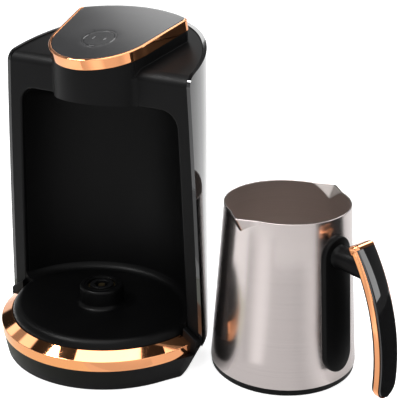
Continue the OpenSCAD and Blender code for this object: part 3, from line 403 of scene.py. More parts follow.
# %% Brushed rings
rings, start, end = new_group("brushed_rings", Along=9.0, Across=2600.0)
parts = add_node(rings, "ShaderNodeSeparateXYZ", (-700, 0))
joined = add_node(rings, "ShaderNodeCombineXYZ", (-300, 0))
for axis, size in (("X", "Along"), ("Y", "Along"), ("Z", "Across")):
    scaled = add_node(rings, "ShaderNodeMath", (-500, 0), operation="MULTIPLY")
    link(rings, (parts.outputs[axis], scaled.inputs[0]), (start.outputs[size], scaled.inputs[1]),
         (scaled.outputs[0], joined.inputs[axis]))
hair = add_node(rings, "ShaderNodeTexNoise", (-100, 100), Scale=1.0, Detail=3.0, Roughness=0.7)
spread = add_node(rings, "ShaderNodeMapRange", (150, 100), From_Min=0.3, From_Max=0.7)
link(rings, (start.outputs["Vector"], parts.inputs[0]), (joined.outputs[0], hair.inputs["Vector"]),
     (hair.outputs["Fac"], spread.inputs["Value"]), (spread.outputs[0], end.inputs["Mask"]),
     (hair.outputs["Fac"], end.inputs["Height"]))
print("groups:", [g.name for g in bpy.data.node_groups])

# %% [markdown]
# ## Finishes
# Every finish is a Principled shader whose colour, roughness and bump move a little with one of the
# groups. A plain colour would be simpler, but a surface without any variation looks like a
# drawing. The colours are given as the two ends between which the mask mixes. Patterns read Object
# coordinates: every piece sits at the origin, so they are the object's own places.

# %% Finish helper
FINISH = {}


def make_finish(name, dark, light, rough, effect, scale=None, bump=0.0, bump_mm=0.05, centre=None,
                **settings):
    """A material: two colours and two roughnesses mixed by an effect's mask, and its height as bump."""
    material = bpy.data.materials.new(name)
    material.use_nodes = True
    tree = material.node_tree
    shader = tree.nodes["Principled BSDF"]
    source = add_node(tree, "ShaderNodeTexCoord", (-1200, 0)).outputs["Object"]
    if centre:
        shift = add_node(tree, "ShaderNodeMapping", (-1050, 0), Location=[-x * MM for x in centre])
        link(tree, (source, shift.inputs["Vector"]))
        source = shift.outputs[0]
    group = add_node(tree, "ShaderNodeGroup", (-850, 0), node_tree=effect)
    if scale:
        group.inputs["Scale"].default_value = scale
    colour = add_node(tree, "ShaderNodeMix", (-450, 200), data_type="RGBA")
    colour.inputs[6].default_value = (*dark, 1)
    colour.inputs[7].default_value = (*light, 1)
    rougher = add_node(tree, "ShaderNodeMapRange", (-450, -100), To_Min=rough[0], To_Max=rough[1])
    link(tree, (source, group.inputs["Vector"]), (group.outputs["Mask"], colour.inputs["Factor"]),
         (colour.outputs[2], shader.inputs["Base Color"]), (group.outputs["Mask"], rougher.inputs["Value"]),
         (rougher.outputs[0], shader.inputs["Roughness"]))
    if bump:
        relief = add_node(tree, "ShaderNodeBump", (-300, -350), Strength=bump, Distance=bump_mm * MM)
        link(tree, (group.outputs["Height"], relief.inputs["Height"]),
             (relief.outputs[0], shader.inputs["Normal"]))
    for key, value in settings.items():
        shader.inputs[key.replace("_", " ")].default_value = value
    FINISH[name] = material
    return material


# %% [markdown]
# ### Matt plastics
# The blacks are very dark, and what shows of them is mostly their sheen. Plain dark colour with the
# usual gloss level would look grey under a soft box, so the level is lowered and the roughness does
# the rest. The tray is a little smoother than the housing, and the gland, the feet and the wires
# are softer, duller stuff.

# %% Blacks of the machine and pot
MATT = dict(Specular_IOR_Level=0.11)
make_finish("matt_black", (0.0012, 0.0012, 0.0013), (0.0028, 0.0028, 0.003), (0.38, 0.48),
            grain, 1500, 0.16, **MATT)
make_finish("tray_black", (0.0010, 0.0010, 0.0011), (0.0022, 0.0022, 0.0023), (0.32, 0.40),
            grain, 1500, 0.08, Specular_IOR_Level=0.10)
make_finish("liner_black", (0.0010, 0.0010, 0.0011), (0.0022, 0.0022, 0.0023), (0.40, 0.5),
            grain, 1500, 0.10, **MATT)
make_finish("connector_black", (0.002, 0.002, 0.0022), (0.005, 0.005, 0.0055), (0.35, 0.45),
            grain, 1300, 0.10, **MATT)
for name in ("pot_black", "handle_black"):
    make_finish(name, (0.0012, 0.0012, 0.0013), (0.0026, 0.0026, 0.0028), (0.33, 0.42),
                grain, 1600, 0.12, **MATT)
print("blacks:", list(FINISH))

# %% Soft and inner plastics
make_finish("gland_black", (0.008, 0.008, 0.0085), (0.016, 0.016, 0.017), (0.55, 0.7), grain, 900, 0.2)
make_finish("rubber", (0.008, 0.008, 0.008), (0.02, 0.02, 0.02), (0.65, 0.8), grain, 700, 0.3)
make_finish("wire_sleeve", (0.01, 0.01, 0.01), (0.03, 0.03, 0.03), (0.5, 0.65), grain, 700, 0.2)
make_finish("component_black", (0.012, 0.012, 0.012), (0.03, 0.03, 0.03), (0.4, 0.55), grain, 1100, 0.15)
make_finish("switch_white", (0.5, 0.49, 0.46), (0.6, 0.59, 0.56), (0.4, 0.5), grain, 1100, 0.1)
make_finish("ceramic_white", (0.55, 0.52, 0.47), (0.68, 0.65, 0.6), (0.55, 0.7), grain, 900, 0.25)
make_finish("terminal_green", (0.03, 0.18, 0.07), (0.045, 0.24, 0.1), (0.4, 0.5), grain, 1000, 0.1)
make_finish("winding_yellow", (0.5, 0.33, 0.05), (0.62, 0.44, 0.08), (0.35, 0.5), grain, 500, 0.2)
make_finish("board_green", (0.008, 0.07, 0.025), (0.014, 0.11, 0.04), (0.25, 0.35), grain, 500, 0.15)
print("plastics:", len(FINISH))

# %% [markdown]
# ### Gloss
# The shell is polished plastic: a black base under a full clear coat. A mirror-smooth base alone
# would do, but the coat keeps a sharp reflection while the base may be a little rougher. The panel
# and its button are smoked and less sharp, and the small windows in them are milky.

# %% Gloss
make_finish("gloss_black", (0.004, 0.004, 0.0043), (0.006, 0.006, 0.0064), (0.045, 0.09),
            marks, 26, Coat_Weight=1.0)
make_finish("panel_gloss", (0.010, 0.010, 0.0108), (0.0135, 0.0135, 0.0145), (0.16, 0.20), marks, 30)
make_finish("button_gloss", (0.010, 0.010, 0.0108), (0.0135, 0.0135, 0.0145), (0.15, 0.19), marks, 40)
make_finish("window_white", (0.11, 0.11, 0.11), (0.14, 0.14, 0.14), (0.3, 0.4), grain, 1200, 0.05)
make_finish("ring_lens", (0.010, 0.010, 0.0105), (0.014, 0.014, 0.015), (0.16, 0.22), grain, 1400, 0.05)

# %% [markdown]
# ### Metals
# The copper is a thin bright plating under a clear coat. The pot is stainless steel, brushed round
# its axis. The hair lines could be bumps alone, but they are finer than a pixel, so an anisotropic
# shader whose tangent runs round the pot's axis draws the broad streaks that they add up to.
# Inside, the pot has a paler colour than outside: that is painted light, which brightens the inside of the
# pot.

# %% Plating and small metals
COPPER = dict(Metallic=1.0, Coat_Weight=0.25, Coat_Roughness=0.03)
make_finish("copper_trim", (0.93, 0.395, 0.175), (0.96, 0.415, 0.19), (0.045, 0.085), marks, 34, **COPPER)
make_finish("steel_fixings", (0.45, 0.45, 0.46), (0.62, 0.62, 0.63), (0.25, 0.4),
            grain, 900, 0.1, Metallic=1.0)
make_finish("contact_brass", (0.16, 0.12, 0.06), (0.2, 0.15, 0.08), (0.35, 0.45),
            grain, 900, 0.08, Metallic=1.0)
make_finish("heater_alloy", (0.4, 0.4, 0.41), (0.55, 0.55, 0.56), (0.4, 0.6), grain, 500, 0.3, Metallic=1.0)
make_finish("element_alloy", (0.3, 0.3, 0.3), (0.42, 0.42, 0.42), (0.35, 0.5), grain, 600, 0.2, Metallic=1.0)

# %% Brushed steel
steel = make_finish("pot_steel", (0.52, 0.468, 0.456), (0.555, 0.50, 0.487), (0.15, 0.20),
                    rings, None, 0.015, 0.02, POT_AT, Metallic=1.0, Anisotropic=0.75)
# The inside is the same steel as the outside. Its rougher, satin finish is real, but its paler colour is
# painted light that brightens the inside of the pot.
inside = make_finish("pot_inside", (0.66, 0.60, 0.57), (0.72, 0.66, 0.63), (0.40, 0.48),
                     rings, None, 0.02, 0.02, POT_AT, Metallic=1.0, Anisotropic=0.8)
for material in (steel, inside):
    tree = material.node_tree
    around = add_node(tree, "ShaderNodeTangent", (-300, -600), direction_type="RADIAL", axis="Z")
    link(tree, (around.outputs[0], tree.nodes["Principled BSDF"].inputs["Tangent"]))
print("finishes:", len(FINISH))

# %% [markdown]
# ## Finishes of the CAD solids
# The inner solids have the right shape already, so they stay as they are and only get a finish for
# the slot that the record gives them.

# %% Finishes of the CAD solids
slots = {part["node"]: part["material_slot"] for part in frame["record"]["subparts"]}
for node_name, solid in frame["nodes"].items():
    for place in solid.material_slots:
        place.material = FINISH[slots[node_name]]
print("solids with a finish:", len(slots))

# %% [markdown]
# ## Tools for the shapes
# Most pieces are swept: a closed section carried round an axis or along a path. One loft helper
# joins such sections to a skin, and a corner helper gives each section real radii, because a sharp
# edge on a moulded part always carries a small round that catches the light. Bevel modifiers could
# add the rounds later, but not a different one for each edge of a section.

# %% Outline helpers
def turns(first, last, steps):
    """Angles in radians from first to last, which are degrees, in equal steps."""
    return [math.radians(first + (last - first) * k / steps) for k in range(steps + 1)]


def arc(cx, cz, r, first, last, steps):
    """Points of an arc in the plane of a profile, angles in degrees."""
    return [(cx + r * math.cos(a), cz + r * math.sin(a)) for a in turns(first, last, steps)]


print("points of a quarter arc in 8 steps:", len(arc(0, 0, 1, 0, 90, 8)))


# %% Corner helper
def rounded(points, radii, steps=5):
    """A closed 2D outline with an arc at each corner; radii is one number or a list."""
    result, count = [], len(points)
    for i, corner in enumerate(points):
        radius = radii[i] if isinstance(radii, list) else radii
        corner = Vector(corner)
        before, after = Vector(points[i - 1]) - corner, Vector(points[(i + 1) % count]) - corner
        half = before.angle(after, 0) / 2
        if radius <= 0 or half < 0.02 or half > math.pi / 2 - 0.01:
            result.append(corner)
            continue
        reach = min(radius / math.tan(half), 0.49 * before.length, 0.49 * after.length)
        radius = reach * math.tan(half)
        centre = corner + (before.normalized() + after.normalized()).normalized() * (radius / math.sin(half))
        first = corner + before.normalized() * reach - centre
        last = corner + after.normalized() * reach - centre
        turn = first.angle_signed(last)
        for k in range(steps + 1):
            arm = first.copy()
            arm.rotate(Matrix.Rotation(-turn * k / steps, 2))
            result.append(centre + arm)
    return result


# %% Section helpers
def mirrored(half):
    """A closed section from its half on one side, given from the middle to the middle."""
    return half + [(r, -y) for r, y in half[-2:0:-1]]


def halve(low, high, test):
    """The number between low and high at which a test stops being true, found by halving."""
    for _ in range(40):
        middle = (low + high) / 2
        low, high = (middle, high) if test(middle) else (low, middle)
    return low


# %% Skin helpers
def skin(mesh_data, sections, closed_path=False, caps=True):
    """Joins closed sections (lists of 3D points, all of one length) to a skin, and returns it."""
    rows = [[mesh_data.verts.new(p) for p in section] for section in sections]
    count = len(rows[0])
    pairs = list(zip(rows, rows[1:])) + ([(rows[-1], rows[0])] if closed_path else [])
    for one, two in pairs:
        for k in range(count):
            mesh_data.faces.new([one[k], one[(k + 1) % count], two[(k + 1) % count], two[k]])
    if caps and not closed_path:
        mesh_data.faces.new(rows[0][::-1])
        mesh_data.faces.new(rows[-1])
    return mesh_data


def lathe(profile, steps):
    """A bmesh made by turning a closed outline of (radius, height) about the vertical axis."""
    sections = [[(r * math.cos(a), r * math.sin(a), z) for r, z in profile] for a in turns(0, 360, steps)]
    return skin(bmesh.new(), sections[:-1], closed_path=True)


# %% Join and bevel helpers
def join(target, *others):
    """Adds other bmeshes to the first one."""
    for other in others:
        mesh = bpy.data.meshes.new("part")
        other.to_mesh(mesh)
        other.free()
        target.from_mesh(mesh)
        bpy.data.meshes.remove(mesh)
    return target


def bevel(mesh_data, width, steps=3, angle=40.0, where=None):
    """Rounds the edges that are sharper than an angle, of those that the test picks."""
    chosen = [e for e in mesh_data.edges if len(e.link_faces) == 2
              and e.calc_face_angle(0) > math.radians(angle) and (where is None or where(e))]
    bmesh.ops.bevel(mesh_data, geom=chosen, offset=width, offset_type="OFFSET", segments=steps,
                    profile=0.5, affect="EDGES", clamp_overlap=False)


# %% [markdown]
# ## Pieces
# A piece is made from its skin in one way: doubles merged, normals turned outwards, smooth shading
# weighted by area so that flat faces stay flat beside their rounds. Some solids already have the
# right faces. Drawing those again would only add errors, so the piece is a copy of the solid whose
# sharp edges get the small rounds that every moulded edge has.

# %% Piece helpers
def add_piece(name, mesh_data, finish, body, nodes, sharp=35.0):
    """Turns a bmesh in mm into a finished piece that rides on a body and stands for CAD nodes."""
    finishes = finish if isinstance(finish, list) else [finish]
    bmesh.ops.remove_doubles(mesh_data, verts=mesh_data.verts, dist=0.002)
    wires = [e for e in mesh_data.edges if not e.link_faces]
    bmesh.ops.delete(mesh_data, geom=wires, context="EDGES")
    bmesh.ops.recalc_face_normals(mesh_data, faces=mesh_data.faces)
    bmesh.ops.scale(mesh_data, vec=(MM, MM, MM), verts=mesh_data.verts)
    for face in mesh_data.faces:
        face.smooth = True
    for edge in mesh_data.edges:
        edge.smooth = len(edge.link_faces) < 2 or edge.calc_face_angle(0) < math.radians(sharp)
    mesh = bpy.data.meshes.new(name)
    mesh_data.to_mesh(mesh)
    mesh_data.free()
    for one in finishes:
        mesh.materials.append(FINISH[one])
    piece = bpy.data.objects.new(name, mesh)
    scene.collection.objects.link(piece)
    weight = piece.modifiers.new("weighted", "WEIGHTED_NORMAL")
    weight.keep_sharp = True
    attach(piece, body)
    if nodes:
        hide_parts(*nodes)
    print(f"{name}: {len(mesh.polygons)} faces")


# %% Copies of solids
def from_solid(node):
    """A bmesh in mm of a CAD solid, with its loose triangles joined to clean faces."""
    mesh_data = bmesh.new()
    mesh_data.from_mesh(frame["nodes"][node].data)
    bmesh.ops.scale(mesh_data, vec=(1 / MM, 1 / MM, 1 / MM), verts=mesh_data.verts)
    bmesh.ops.remove_doubles(mesh_data, verts=mesh_data.verts, dist=0.002)
    bmesh.ops.dissolve_limit(mesh_data, angle_limit=math.radians(0.4), verts=mesh_data.verts,
                             edges=mesh_data.edges, delimit=set())
    return mesh_data


def add_copy(name, node, finish, body, *rounds):
    """A piece from a CAD solid, with rounds of (width, steps, angle, test) on its sharp edges."""
    copy = from_solid(node)
    for width, steps, angle, where in rounds:
        bevel(copy, width, steps, angle, where)
    add_piece(name, copy, finish, body, [node], sharp=42.0)


print("tools ready")

# %% [markdown]
# ## Tower
# The tower is a cone whose axis leans back: its glossy shell is wrapped round the sides and the
# back, and is cut off by the flat front face and by the sloping top. A boolean would leave ragged
# edges on a mirror finish, so the shell is a grid: each column runs from the lower edge to the rim,
# and the columns share out the way round from one front edge to the other.

# %% Leaning cone
LEAN = math.radians(6.6)
TAPER = 0.0666
TOWER_R, TOWER_FWD, SHELL_Z = 80.5, 20.0, 20.0
TILT = math.radians(16.0)
RIM_Z, SHOULDER_ROUND = 189.7, 8.0


def on_cone(inset, angle, z):
    """Point of the leaning cone at a height and an angle, inset from the tower's outside."""
    radius, rise = TOWER_R - inset, math.sin(angle) * math.sin(LEAN)
    s = (z - SHELL_Z + radius * rise) / (math.cos(LEAN) + TAPER * rise)
    r = radius - TAPER * s
    return Vector((r * math.cos(angle), -TOWER_FWD + r * math.sin(angle) * math.cos(LEAN)
                   + s * math.sin(LEAN), z))


def front_angle(inset, z):
    """Angle at which that cone passes through the front plane, y = 0, on the right."""
    return halve(-0.4, 1.2, lambda angle: on_cone(inset, angle, z).y < 0)


def rim_height(y):
    """Height of the sloping top at y, with the rounded front edge."""
    centre = RIM_Z + SHOULDER_ROUND * math.tan(TILT) - SHOULDER_ROUND / math.cos(TILT)
    if y < SHOULDER_ROUND * (1 - math.sin(TILT)):
        return centre + math.sqrt(max(SHOULDER_ROUND ** 2 - (SHOULDER_ROUND - y) ** 2, 0.0))
    return RIM_Z + y * math.tan(TILT)


print("tower's half width at the lower edge:", round(on_cone(0, front_angle(0, SHELL_Z), SHELL_Z).x, 2))

# %% Outer shell
SHELL_WALL, SHELL_ROUND = 2.4, 1.0


def shell_point(inset, share, z):
    """Point of the shell at a height and at a share of the way round."""
    first = front_angle(inset, z)
    return on_cone(inset, first + share * (math.pi - 2 * first), z)


def shell_column(inset, share, rows=24):
    """Points from the lower edge to the rim, whose height is settled by a few tries."""
    top = RIM_Z
    for _ in range(30):
        top = rim_height(shell_point(inset, share, top).y)
    return [shell_point(inset, share, SHELL_Z + (top - SHELL_Z) * k / rows) for k in range(rows + 1)]


near = [0.0005, 0.0015, 0.003, 0.006, 0.01, 0.015, 0.02, 0.027, 0.035, 0.045]
shares = [0.0] + near + [0.06 + 0.88 * k / 110 for k in range(111)] + [1 - s for s in reversed(near)] + [1.0]
shell = skin(bmesh.new(), [shell_column(0, s) + shell_column(SHELL_WALL, s)[::-1] for s in shares])
bevel(shell, SHELL_ROUND, 5, 50)
add_piece("outer_shell_gloss", shell, "gloss_black", "machine", ["outer_shell"])

# %% [markdown]
# ## Front frame
# The flat frame round the pot bay is one outline: out along the tower's sides, back along the arch
# of the bay. Cutting the bay out of a plate with a boolean would do too, but a drawn outline keeps
# the inner edge as one clean loop. That edge is rolled over generously towards the bay, which is
# what draws the soft line of light round the opening.

# %% Arch of the bay
BAY_INSET, BAY_ROUND, BAY_TOP = 11.0, 11.0, 168.0
bay_s = (BAY_TOP - SHELL_Z) * math.cos(LEAN) + TOWER_FWD * math.sin(LEAN)


def bay_arch():
    """Half outline (x, z) of the bay where the front plane cuts it, from the floor to the middle."""
    corner_s = bay_s - BAY_ROUND
    corner_r = TOWER_R - BAY_INSET - TAPER * corner_s - BAY_ROUND
    profile = [(TOWER_R - BAY_INSET - TAPER * s, s) for s in range(-4, int(corner_s), 4)]
    profile += arc(corner_r, corner_s, BAY_ROUND, 0, 90, 16)
    profile += [(corner_r * k / 10, bay_s) for k in range(9, -1, -1)]
    points = []
    for r, s in profile:
        across = (TOWER_FWD - s * math.sin(LEAN)) / math.cos(LEAN)
        z = SHELL_Z - across * math.sin(LEAN) + s * math.cos(LEAN)
        if r > abs(across) and z >= SHELL_Z:
            points.append((math.sqrt(r * r - across * across), z))
    return points


arch = bay_arch()
print("arch:", len(arch), "points, half width", round(arch[0][0], 1), "height", round(arch[-1][1], 1))

# %% Front frame
HOUSING_Z, FRAME_T, FRAME_GAP, FRAME_FOOT = 172.0, 3.0, 0.1, 0.3
arch_foot = (arch[0][0] + FRAME_FOOT, SHELL_Z)
side = [(on_cone(SHELL_WALL + FRAME_GAP, front_angle(SHELL_WALL + FRAME_GAP, z), z).x, z)
        for z in range(20, 173, 8)]
half = [(0.0, arch[-1][1])] + arch[::-1] + [arch_foot] + side + [(0.0, HOUSING_Z)]
outline = half + [(-x, z) for x, z in half[::-1] if x > 0]
panel = bmesh.new()
front = panel.faces.new([panel.verts.new((x, 0.0, z)) for x, z in outline])
moved = bmesh.ops.extrude_face_region(panel, geom=[front])["geom"]
bmesh.ops.translate(panel, vec=(0, FRAME_T, 0), verts=[v for v in moved if isinstance(v, bmesh.types.BMVert)])
inner = {(round(sign * x, 3), round(z, 3)) for x, z in arch for sign in (-1, 1)}
bevel(panel, 1.5, 5, 40, lambda e: all(v.co.y < 0.01 and (round(v.co.x, 3), round(v.co.z, 3)) in inner
                                       for v in e.verts))
add_piece("front_frame_matt", panel, "matt_black", "machine", ["front_frame"])

# %% [markdown]
# ## Lid
# The lid is a pear outline on the sloping plane: a round front, straight flanks and a gently
# bulging back between two small corners. The copper band is the outline's edge, swept with one
# section: a narrow top lip, a rolled edge and a plain side. A curve object with a bevel profile
# could sweep it too, but a skin from points keeps the section square to the slope at every corner.
# The band is a U: at the back it ends at the corners, and the dark panel closes the outline there.

# %% Pear outline
LID_Z, BAND_H, BAND_LIP = 203.0, 7.0, 1.8
LID_FRONT_R, LID_FRONT_Y = 35.5, 13.7
LID_BACK_X, LID_BACK_Y, LID_BACK_R, LID_BULGE = 37.0, 41.0, 4.3, 8.0
FRONT_STEPS, FLANK_STEPS, CORNER_STEPS, REAR_STEPS = 60, 14, 12, 28
slope = Matrix.Translation((0, 0, LID_Z)) @ Matrix.Rotation(TILT, 4, "X")


def on_arc(centre, radius, first, last, steps):
    """Points of an arc about a centre, angles in radians."""
    return [centre + Vector((math.cos(a), math.sin(a))) * radius
            for a in [first + (last - first) * k / steps for k in range(steps + 1)]]


def pear(grow):
    """Closed outline in the slope's plane, counter-clockwise from the middle of the front."""
    back_arm = Vector((LID_BACK_X, LID_BACK_Y - LID_FRONT_Y))
    u = back_arm.normalized()
    c = (LID_FRONT_R - LID_BACK_R) / back_arm.length
    n = u * c + Vector((u.y, -u.x)) * math.sqrt(1 - c * c)
    rear_r = (LID_BACK_X ** 2 + LID_BULGE ** 2) / (2 * LID_BULGE)
    rear_y = LID_BACK_Y + LID_BULGE - rear_r
    flank, corner = math.atan2(n.y, n.x), math.atan2(LID_BACK_Y - rear_y, LID_BACK_X)
    front = on_arc(Vector((0, LID_FRONT_Y)), LID_FRONT_R + grow, -math.pi / 2, flank, FRONT_STEPS)
    back = on_arc(Vector((LID_BACK_X, LID_BACK_Y)), LID_BACK_R + grow, flank, corner, CORNER_STEPS)
    rear = on_arc(Vector((0, rear_y)), rear_r + LID_BACK_R + grow, corner, math.pi / 2, REAR_STEPS)
    side = [front[-1].lerp(back[0], k / FLANK_STEPS) for k in range(1, FLANK_STEPS)]
    half = front + side + back + rear[1:]
    return half + [Vector((-p.x, p.y)) for p in half[-2:0:-1]]


count = len(pear(0))
open_at = FRONT_STEPS + FLANK_STEPS + CORNER_STEPS - 3
print("outline points:", count, "of which the band has", 2 * open_at + 1)

# %% Copper band
BAND_WALL, LEDGE_DROP = 2.7, 4.2
band_section = rounded([(-BAND_LIP, 0.0), (0.0, 0.0), (0.0, -BAND_H), (-BAND_WALL, -BAND_H),
                        (-BAND_WALL, -LEDGE_DROP), (-BAND_LIP, -LEDGE_DROP)], [0.3, 0.75, 0.5, 0.2, 0.1, 0.1])
rings = [pear(p.x) for p in band_section]
order = list(range(count - open_at, count)) + list(range(open_at + 1))
band = skin(bmesh.new(), [[slope @ Vector((*ring[i], p.y)) for ring, p in zip(rings, band_section)]
                          for i in order])
add_piece("lid_band_copper", band, "copper_trim", "machine", ["lid_trim"])

# %% [markdown]
# ## Control panel
# The panel is a thin smoked plate inside the band, with a round hole for the button. A filled
# polygon with a hole would need long thin triangles, which show as creases in a gloss. Here rings
# of points run from the hole outwards and change from a circle to the pear on the way.

# %% Control panel
PANEL_DROP, PANEL_WALL = 0.3, 2.1
BTN_Y, BTN_R, BTN_GAP, LENS_W = 6.9, 9.6, 0.25, 1.35
lens_in, lens_out = BTN_R + 0.12, BTN_R + BTN_GAP + LENS_W
top, edge_low = -PANEL_DROP, -PANEL_DROP - PANEL_WALL


def rim_ring(grow, height):
    """Ring of the panel at that height; past the band's ends it runs out to the lid's full outline."""
    ring = []
    for i, (p, q) in enumerate(zip(pear(-BAND_LIP - 0.06 + grow), pear(-0.05 + grow))):
        past = min(i, count - i) - (open_at - 3)
        ring.append(Vector((*p.lerp(q, min(max(past / 4.0, 0.0), 1.0)), height)))
    return ring


def disc_ring(radius, height):
    """Ring round the button whose points lie towards those of the panel's rim."""
    ring = []
    for p in rim_ring(0, top):
        arm = Vector((p.x, p.y - BTN_Y)).normalized() * radius
        ring.append(Vector((arm.x, BTN_Y + arm.y, height)))
    return ring


hole_edge, flat_edge = disc_ring(lens_out + 0.2, top), rim_ring(-0.35, top)
sections = [disc_ring(lens_out, edge_low), disc_ring(lens_out, top - 0.2),
            disc_ring(lens_out + 0.06, top - 0.06)]
sections += [[a.lerp(b, share) for a, b in zip(hole_edge, flat_edge)]
             for share in (0.0, 0.12, 0.3, 0.5, 0.7, 0.86, 0.96, 1.0)]
sections += [rim_ring(-0.1, top - 0.1), rim_ring(0, top - 0.35), rim_ring(0, edge_low)]
plate = skin(bmesh.new(), [[slope @ p for p in section] for section in sections], closed_path=True)
add_piece("control_panel_gloss", plate, "panel_gloss", "machine", ["control_panel"])

# %% [markdown]
# ## Button
# The button is a slightly dished disc inside a ring lens. Both are round, so they are turned from
# an outline, upright at the origin, and then moved to their place on the slope. The button's
# plunger reaches down to the switch under it.

# %% Ring lens and button
LENS_T, LENS_REST, BTN_FLANGE, PLUNGER_R, DISH = 1.6, 1.4, 1.2, 2.5, 0.05


def on_slope(mesh_data):
    """Moves a part from its own upright axis to the button's place on the slope."""
    mesh_data.transform(slope @ Matrix.Translation((0, BTN_Y, 0)))
    return mesh_data


lens_low, rest_r, neck_r = edge_low - LENS_T, lens_out + LENS_REST, lens_out - 0.03
lens = lathe(rounded([(lens_in, lens_low), (rest_r, lens_low), (rest_r, edge_low - 0.02),
                      (neck_r, edge_low - 0.02), (neck_r, top - 0.1), (lens_in, top - 0.1)],
                     [0.1, 0.1, 0.1, 0.1, 0.25, 0.25], 3), 96)
add_piece("ring_lens_smoked", on_slope(lens), "ring_lens", "machine", ["light_ring"])
flange_top = lens_low - 0.1
btn_low = flange_top - BTN_FLANGE
plunger_low = btn_low - 3.6
button = lathe(rounded([(0.0, plunger_low), (PLUNGER_R, plunger_low), (PLUNGER_R, btn_low),
                        (BTN_R + 1, btn_low), (BTN_R + 1, flange_top), (BTN_R, flange_top), (BTN_R, top),
                        (BTN_R - 1.4, top - 0.02), (BTN_R - 4.5, top - DISH), (0.0, top - DISH)],
                       [0, 0.2, 0.3, 0.2, 0.2, 0.1, 0.35, 1.0, 2.5, 0], 4), 96)
add_piece("start_button_gloss", on_slope(button), "button_gloss", "button", ["start_button"])

# %% [markdown]
# ## Light windows
# Four small windows show the button's lights: two upright bars on the disc, and two short arcs in
# the ring on either side. They could be painted on by a texture, but a plate of its own keeps
# their edges crisp in a close view. Each is let into the surface and stands proud by a hair.

# %% Light windows
BAR_X, BAR_HALF_W, BAR_HALF_H, ARC_W, ARC_TURN, WINDOW_DEPTH = 4.1, 0.42, 1.5, 0.7, 15, 0.6


def window(outline, high):
    """A small plate with that outline, let into the slope below a height."""
    return skin(bmesh.new(), [[(x, y, z) for x, y in outline] for z in (top - WINDOW_DEPTH, high)])


bar = rounded([(x * BAR_HALF_W, y * BAR_HALF_H) for x, y in ((-1, -1), (1, -1), (1, 1), (-1, 1))], 0.4)
bars = join(*[window([(p.x + x, p.y) for p in bar], top - DISH + 0.03) for x in (-BAR_X, BAR_X)])
add_piece("button_windows_white", on_slope(bars), "window_white", "button", [])
middle_r = (lens_in + lens_out) / 2
arcs = join(*[window(arc(0, 0, middle_r + ARC_W / 2, side - ARC_TURN, side + ARC_TURN, 10)
                     + arc(0, 0, middle_r - ARC_W / 2, side + ARC_TURN, side - ARC_TURN, 10), top - 0.08)
              for side in (0, 180)])
add_piece("ring_windows_white", on_slope(arcs), "window_white", "machine", [])

# %% [markdown]
# ## Head
# The matt head block is one moulding: sloping shoulders that roll over the front edge, and the nose
# that hangs over the bay. A flat plate closes the nose from below. Both are copies of their solids.

# %% Head block
add_copy("head_block_matt", "top_housing", "matt_black", "machine",
         (0.45, 3, 40, lambda e: any(v.co.z > 173 or v.co.y > 4 for v in e.verts)))
add_copy("head_floor_matt", "nose_cover", "matt_black", "machine", (0.3, 2, 60, None))

# %% [markdown]
# ## Base
# The front of the base is round and carries the copper crescent. The crescent is a ring with a
# ridge: a plain outer face below, and a face that slopes in to the floor above. It is cut off by an
# upright plane on both sides. A whole ring could be cut by a boolean, but its ends would lose the
# section's rounds, so each point of the section gets its own first and last angle instead. The
# matt skirt under it is a copy of its solid.

# %% Copper crescent
TRIM_END, TRIM_STEPS = -4.0, 160


def cut_turn(r, z, centre_y, cut_y, share, rear=False):
    """Point at a share of a circle's arc about (0, centre_y), on one side of the plane at cut_y."""
    e = math.asin((cut_y - centre_y) / r)
    a = e + (math.pi - 2 * e) * share if rear else -math.pi - e + (math.pi + 2 * e) * share
    return (r * math.cos(a), centre_y + r * math.sin(a), z)


section = rounded([(67.0, 14.8), (72.6, 14.8), (72.9, 21.6), (65.6, 26.0), (65.4, 23.8), (67.0, 23.8)],
                  [0.1, 0.35, 0.55, 0.35, 0.1, 0.1])
crescent = skin(bmesh.new(), [[cut_turn(r, z, BASE_Y, TRIM_END, k / TRIM_STEPS) for r, z in section]
                              for k in range(TRIM_STEPS + 1)])
add_piece("base_crescent_copper", crescent, "copper_trim", "machine", ["base_trim"])

# %% Skirt
BASE_R = 70.0


def on_wing(e):
    """Edge of the wings beside the tower's foot, at the top."""
    return all(abs(v.co.x) > 60 and v.co.y < 0.5 and v.co.z > 21 for v in e.verts)


def on_corner(e):
    """Upright edge where the round front meets the straight sides."""
    return abs(e.verts[0].co.z - e.verts[1].co.z) > 5 and all(
        math.hypot(v.co.x, v.co.y - BASE_Y) > BASE_R - 2 and v.co.y < -6 for v in e.verts)


def at_foot(e):
    """Edge round the underside."""
    return all(v.co.z < 1.0 for v in e.verts)


add_copy("base_skirt_matt", "base_shell", "matt_black", "machine",
         (0.9, 4, 25, on_wing), (5.0, 6, 12, on_corner), (0.35, 2, 50, at_foot))

# %% [markdown]
# ## Floor of the bay
# The floor is a shallow dish turned upside down: its front edge rolls down inside the crescent, and
# at the back it sweeps up into the wall of the bay with a generous cove. The two halves turn about
# different centres, so one lathe can't make both. Each is swept by itself between its rim and the
# round hole in the middle, and they meet on the plane through the hole.

# %% Floor tray
FLOOR_Z, FLOOR_WALL, FLOOR_ROUND, FLOOR_LOW, TRAY_R, HOLE_R, COVE_R = 31.0, 2.5, 6.0, 23.8, 65.3, 15.3, 6.0
FLOOR_STEPS = 96


def floor_part(rim, centre_y, rear):
    """Half of the floor: from the hole's edge to a rim profile turned about (0, centre_y)."""
    sections = []
    for k in range(FLOOR_STEPS + 1):
        share = k / FLOOR_STEPS
        hole = [cut_turn(HOLE_R, z, 0, 0, share, rear) for z in (FLOOR_Z - FLOOR_WALL, FLOOR_Z)]
        sections.append(hole + [cut_turn(r, z, centre_y, 0, share, rear) for r, z in rim])
    return skin(bmesh.new(), sections)


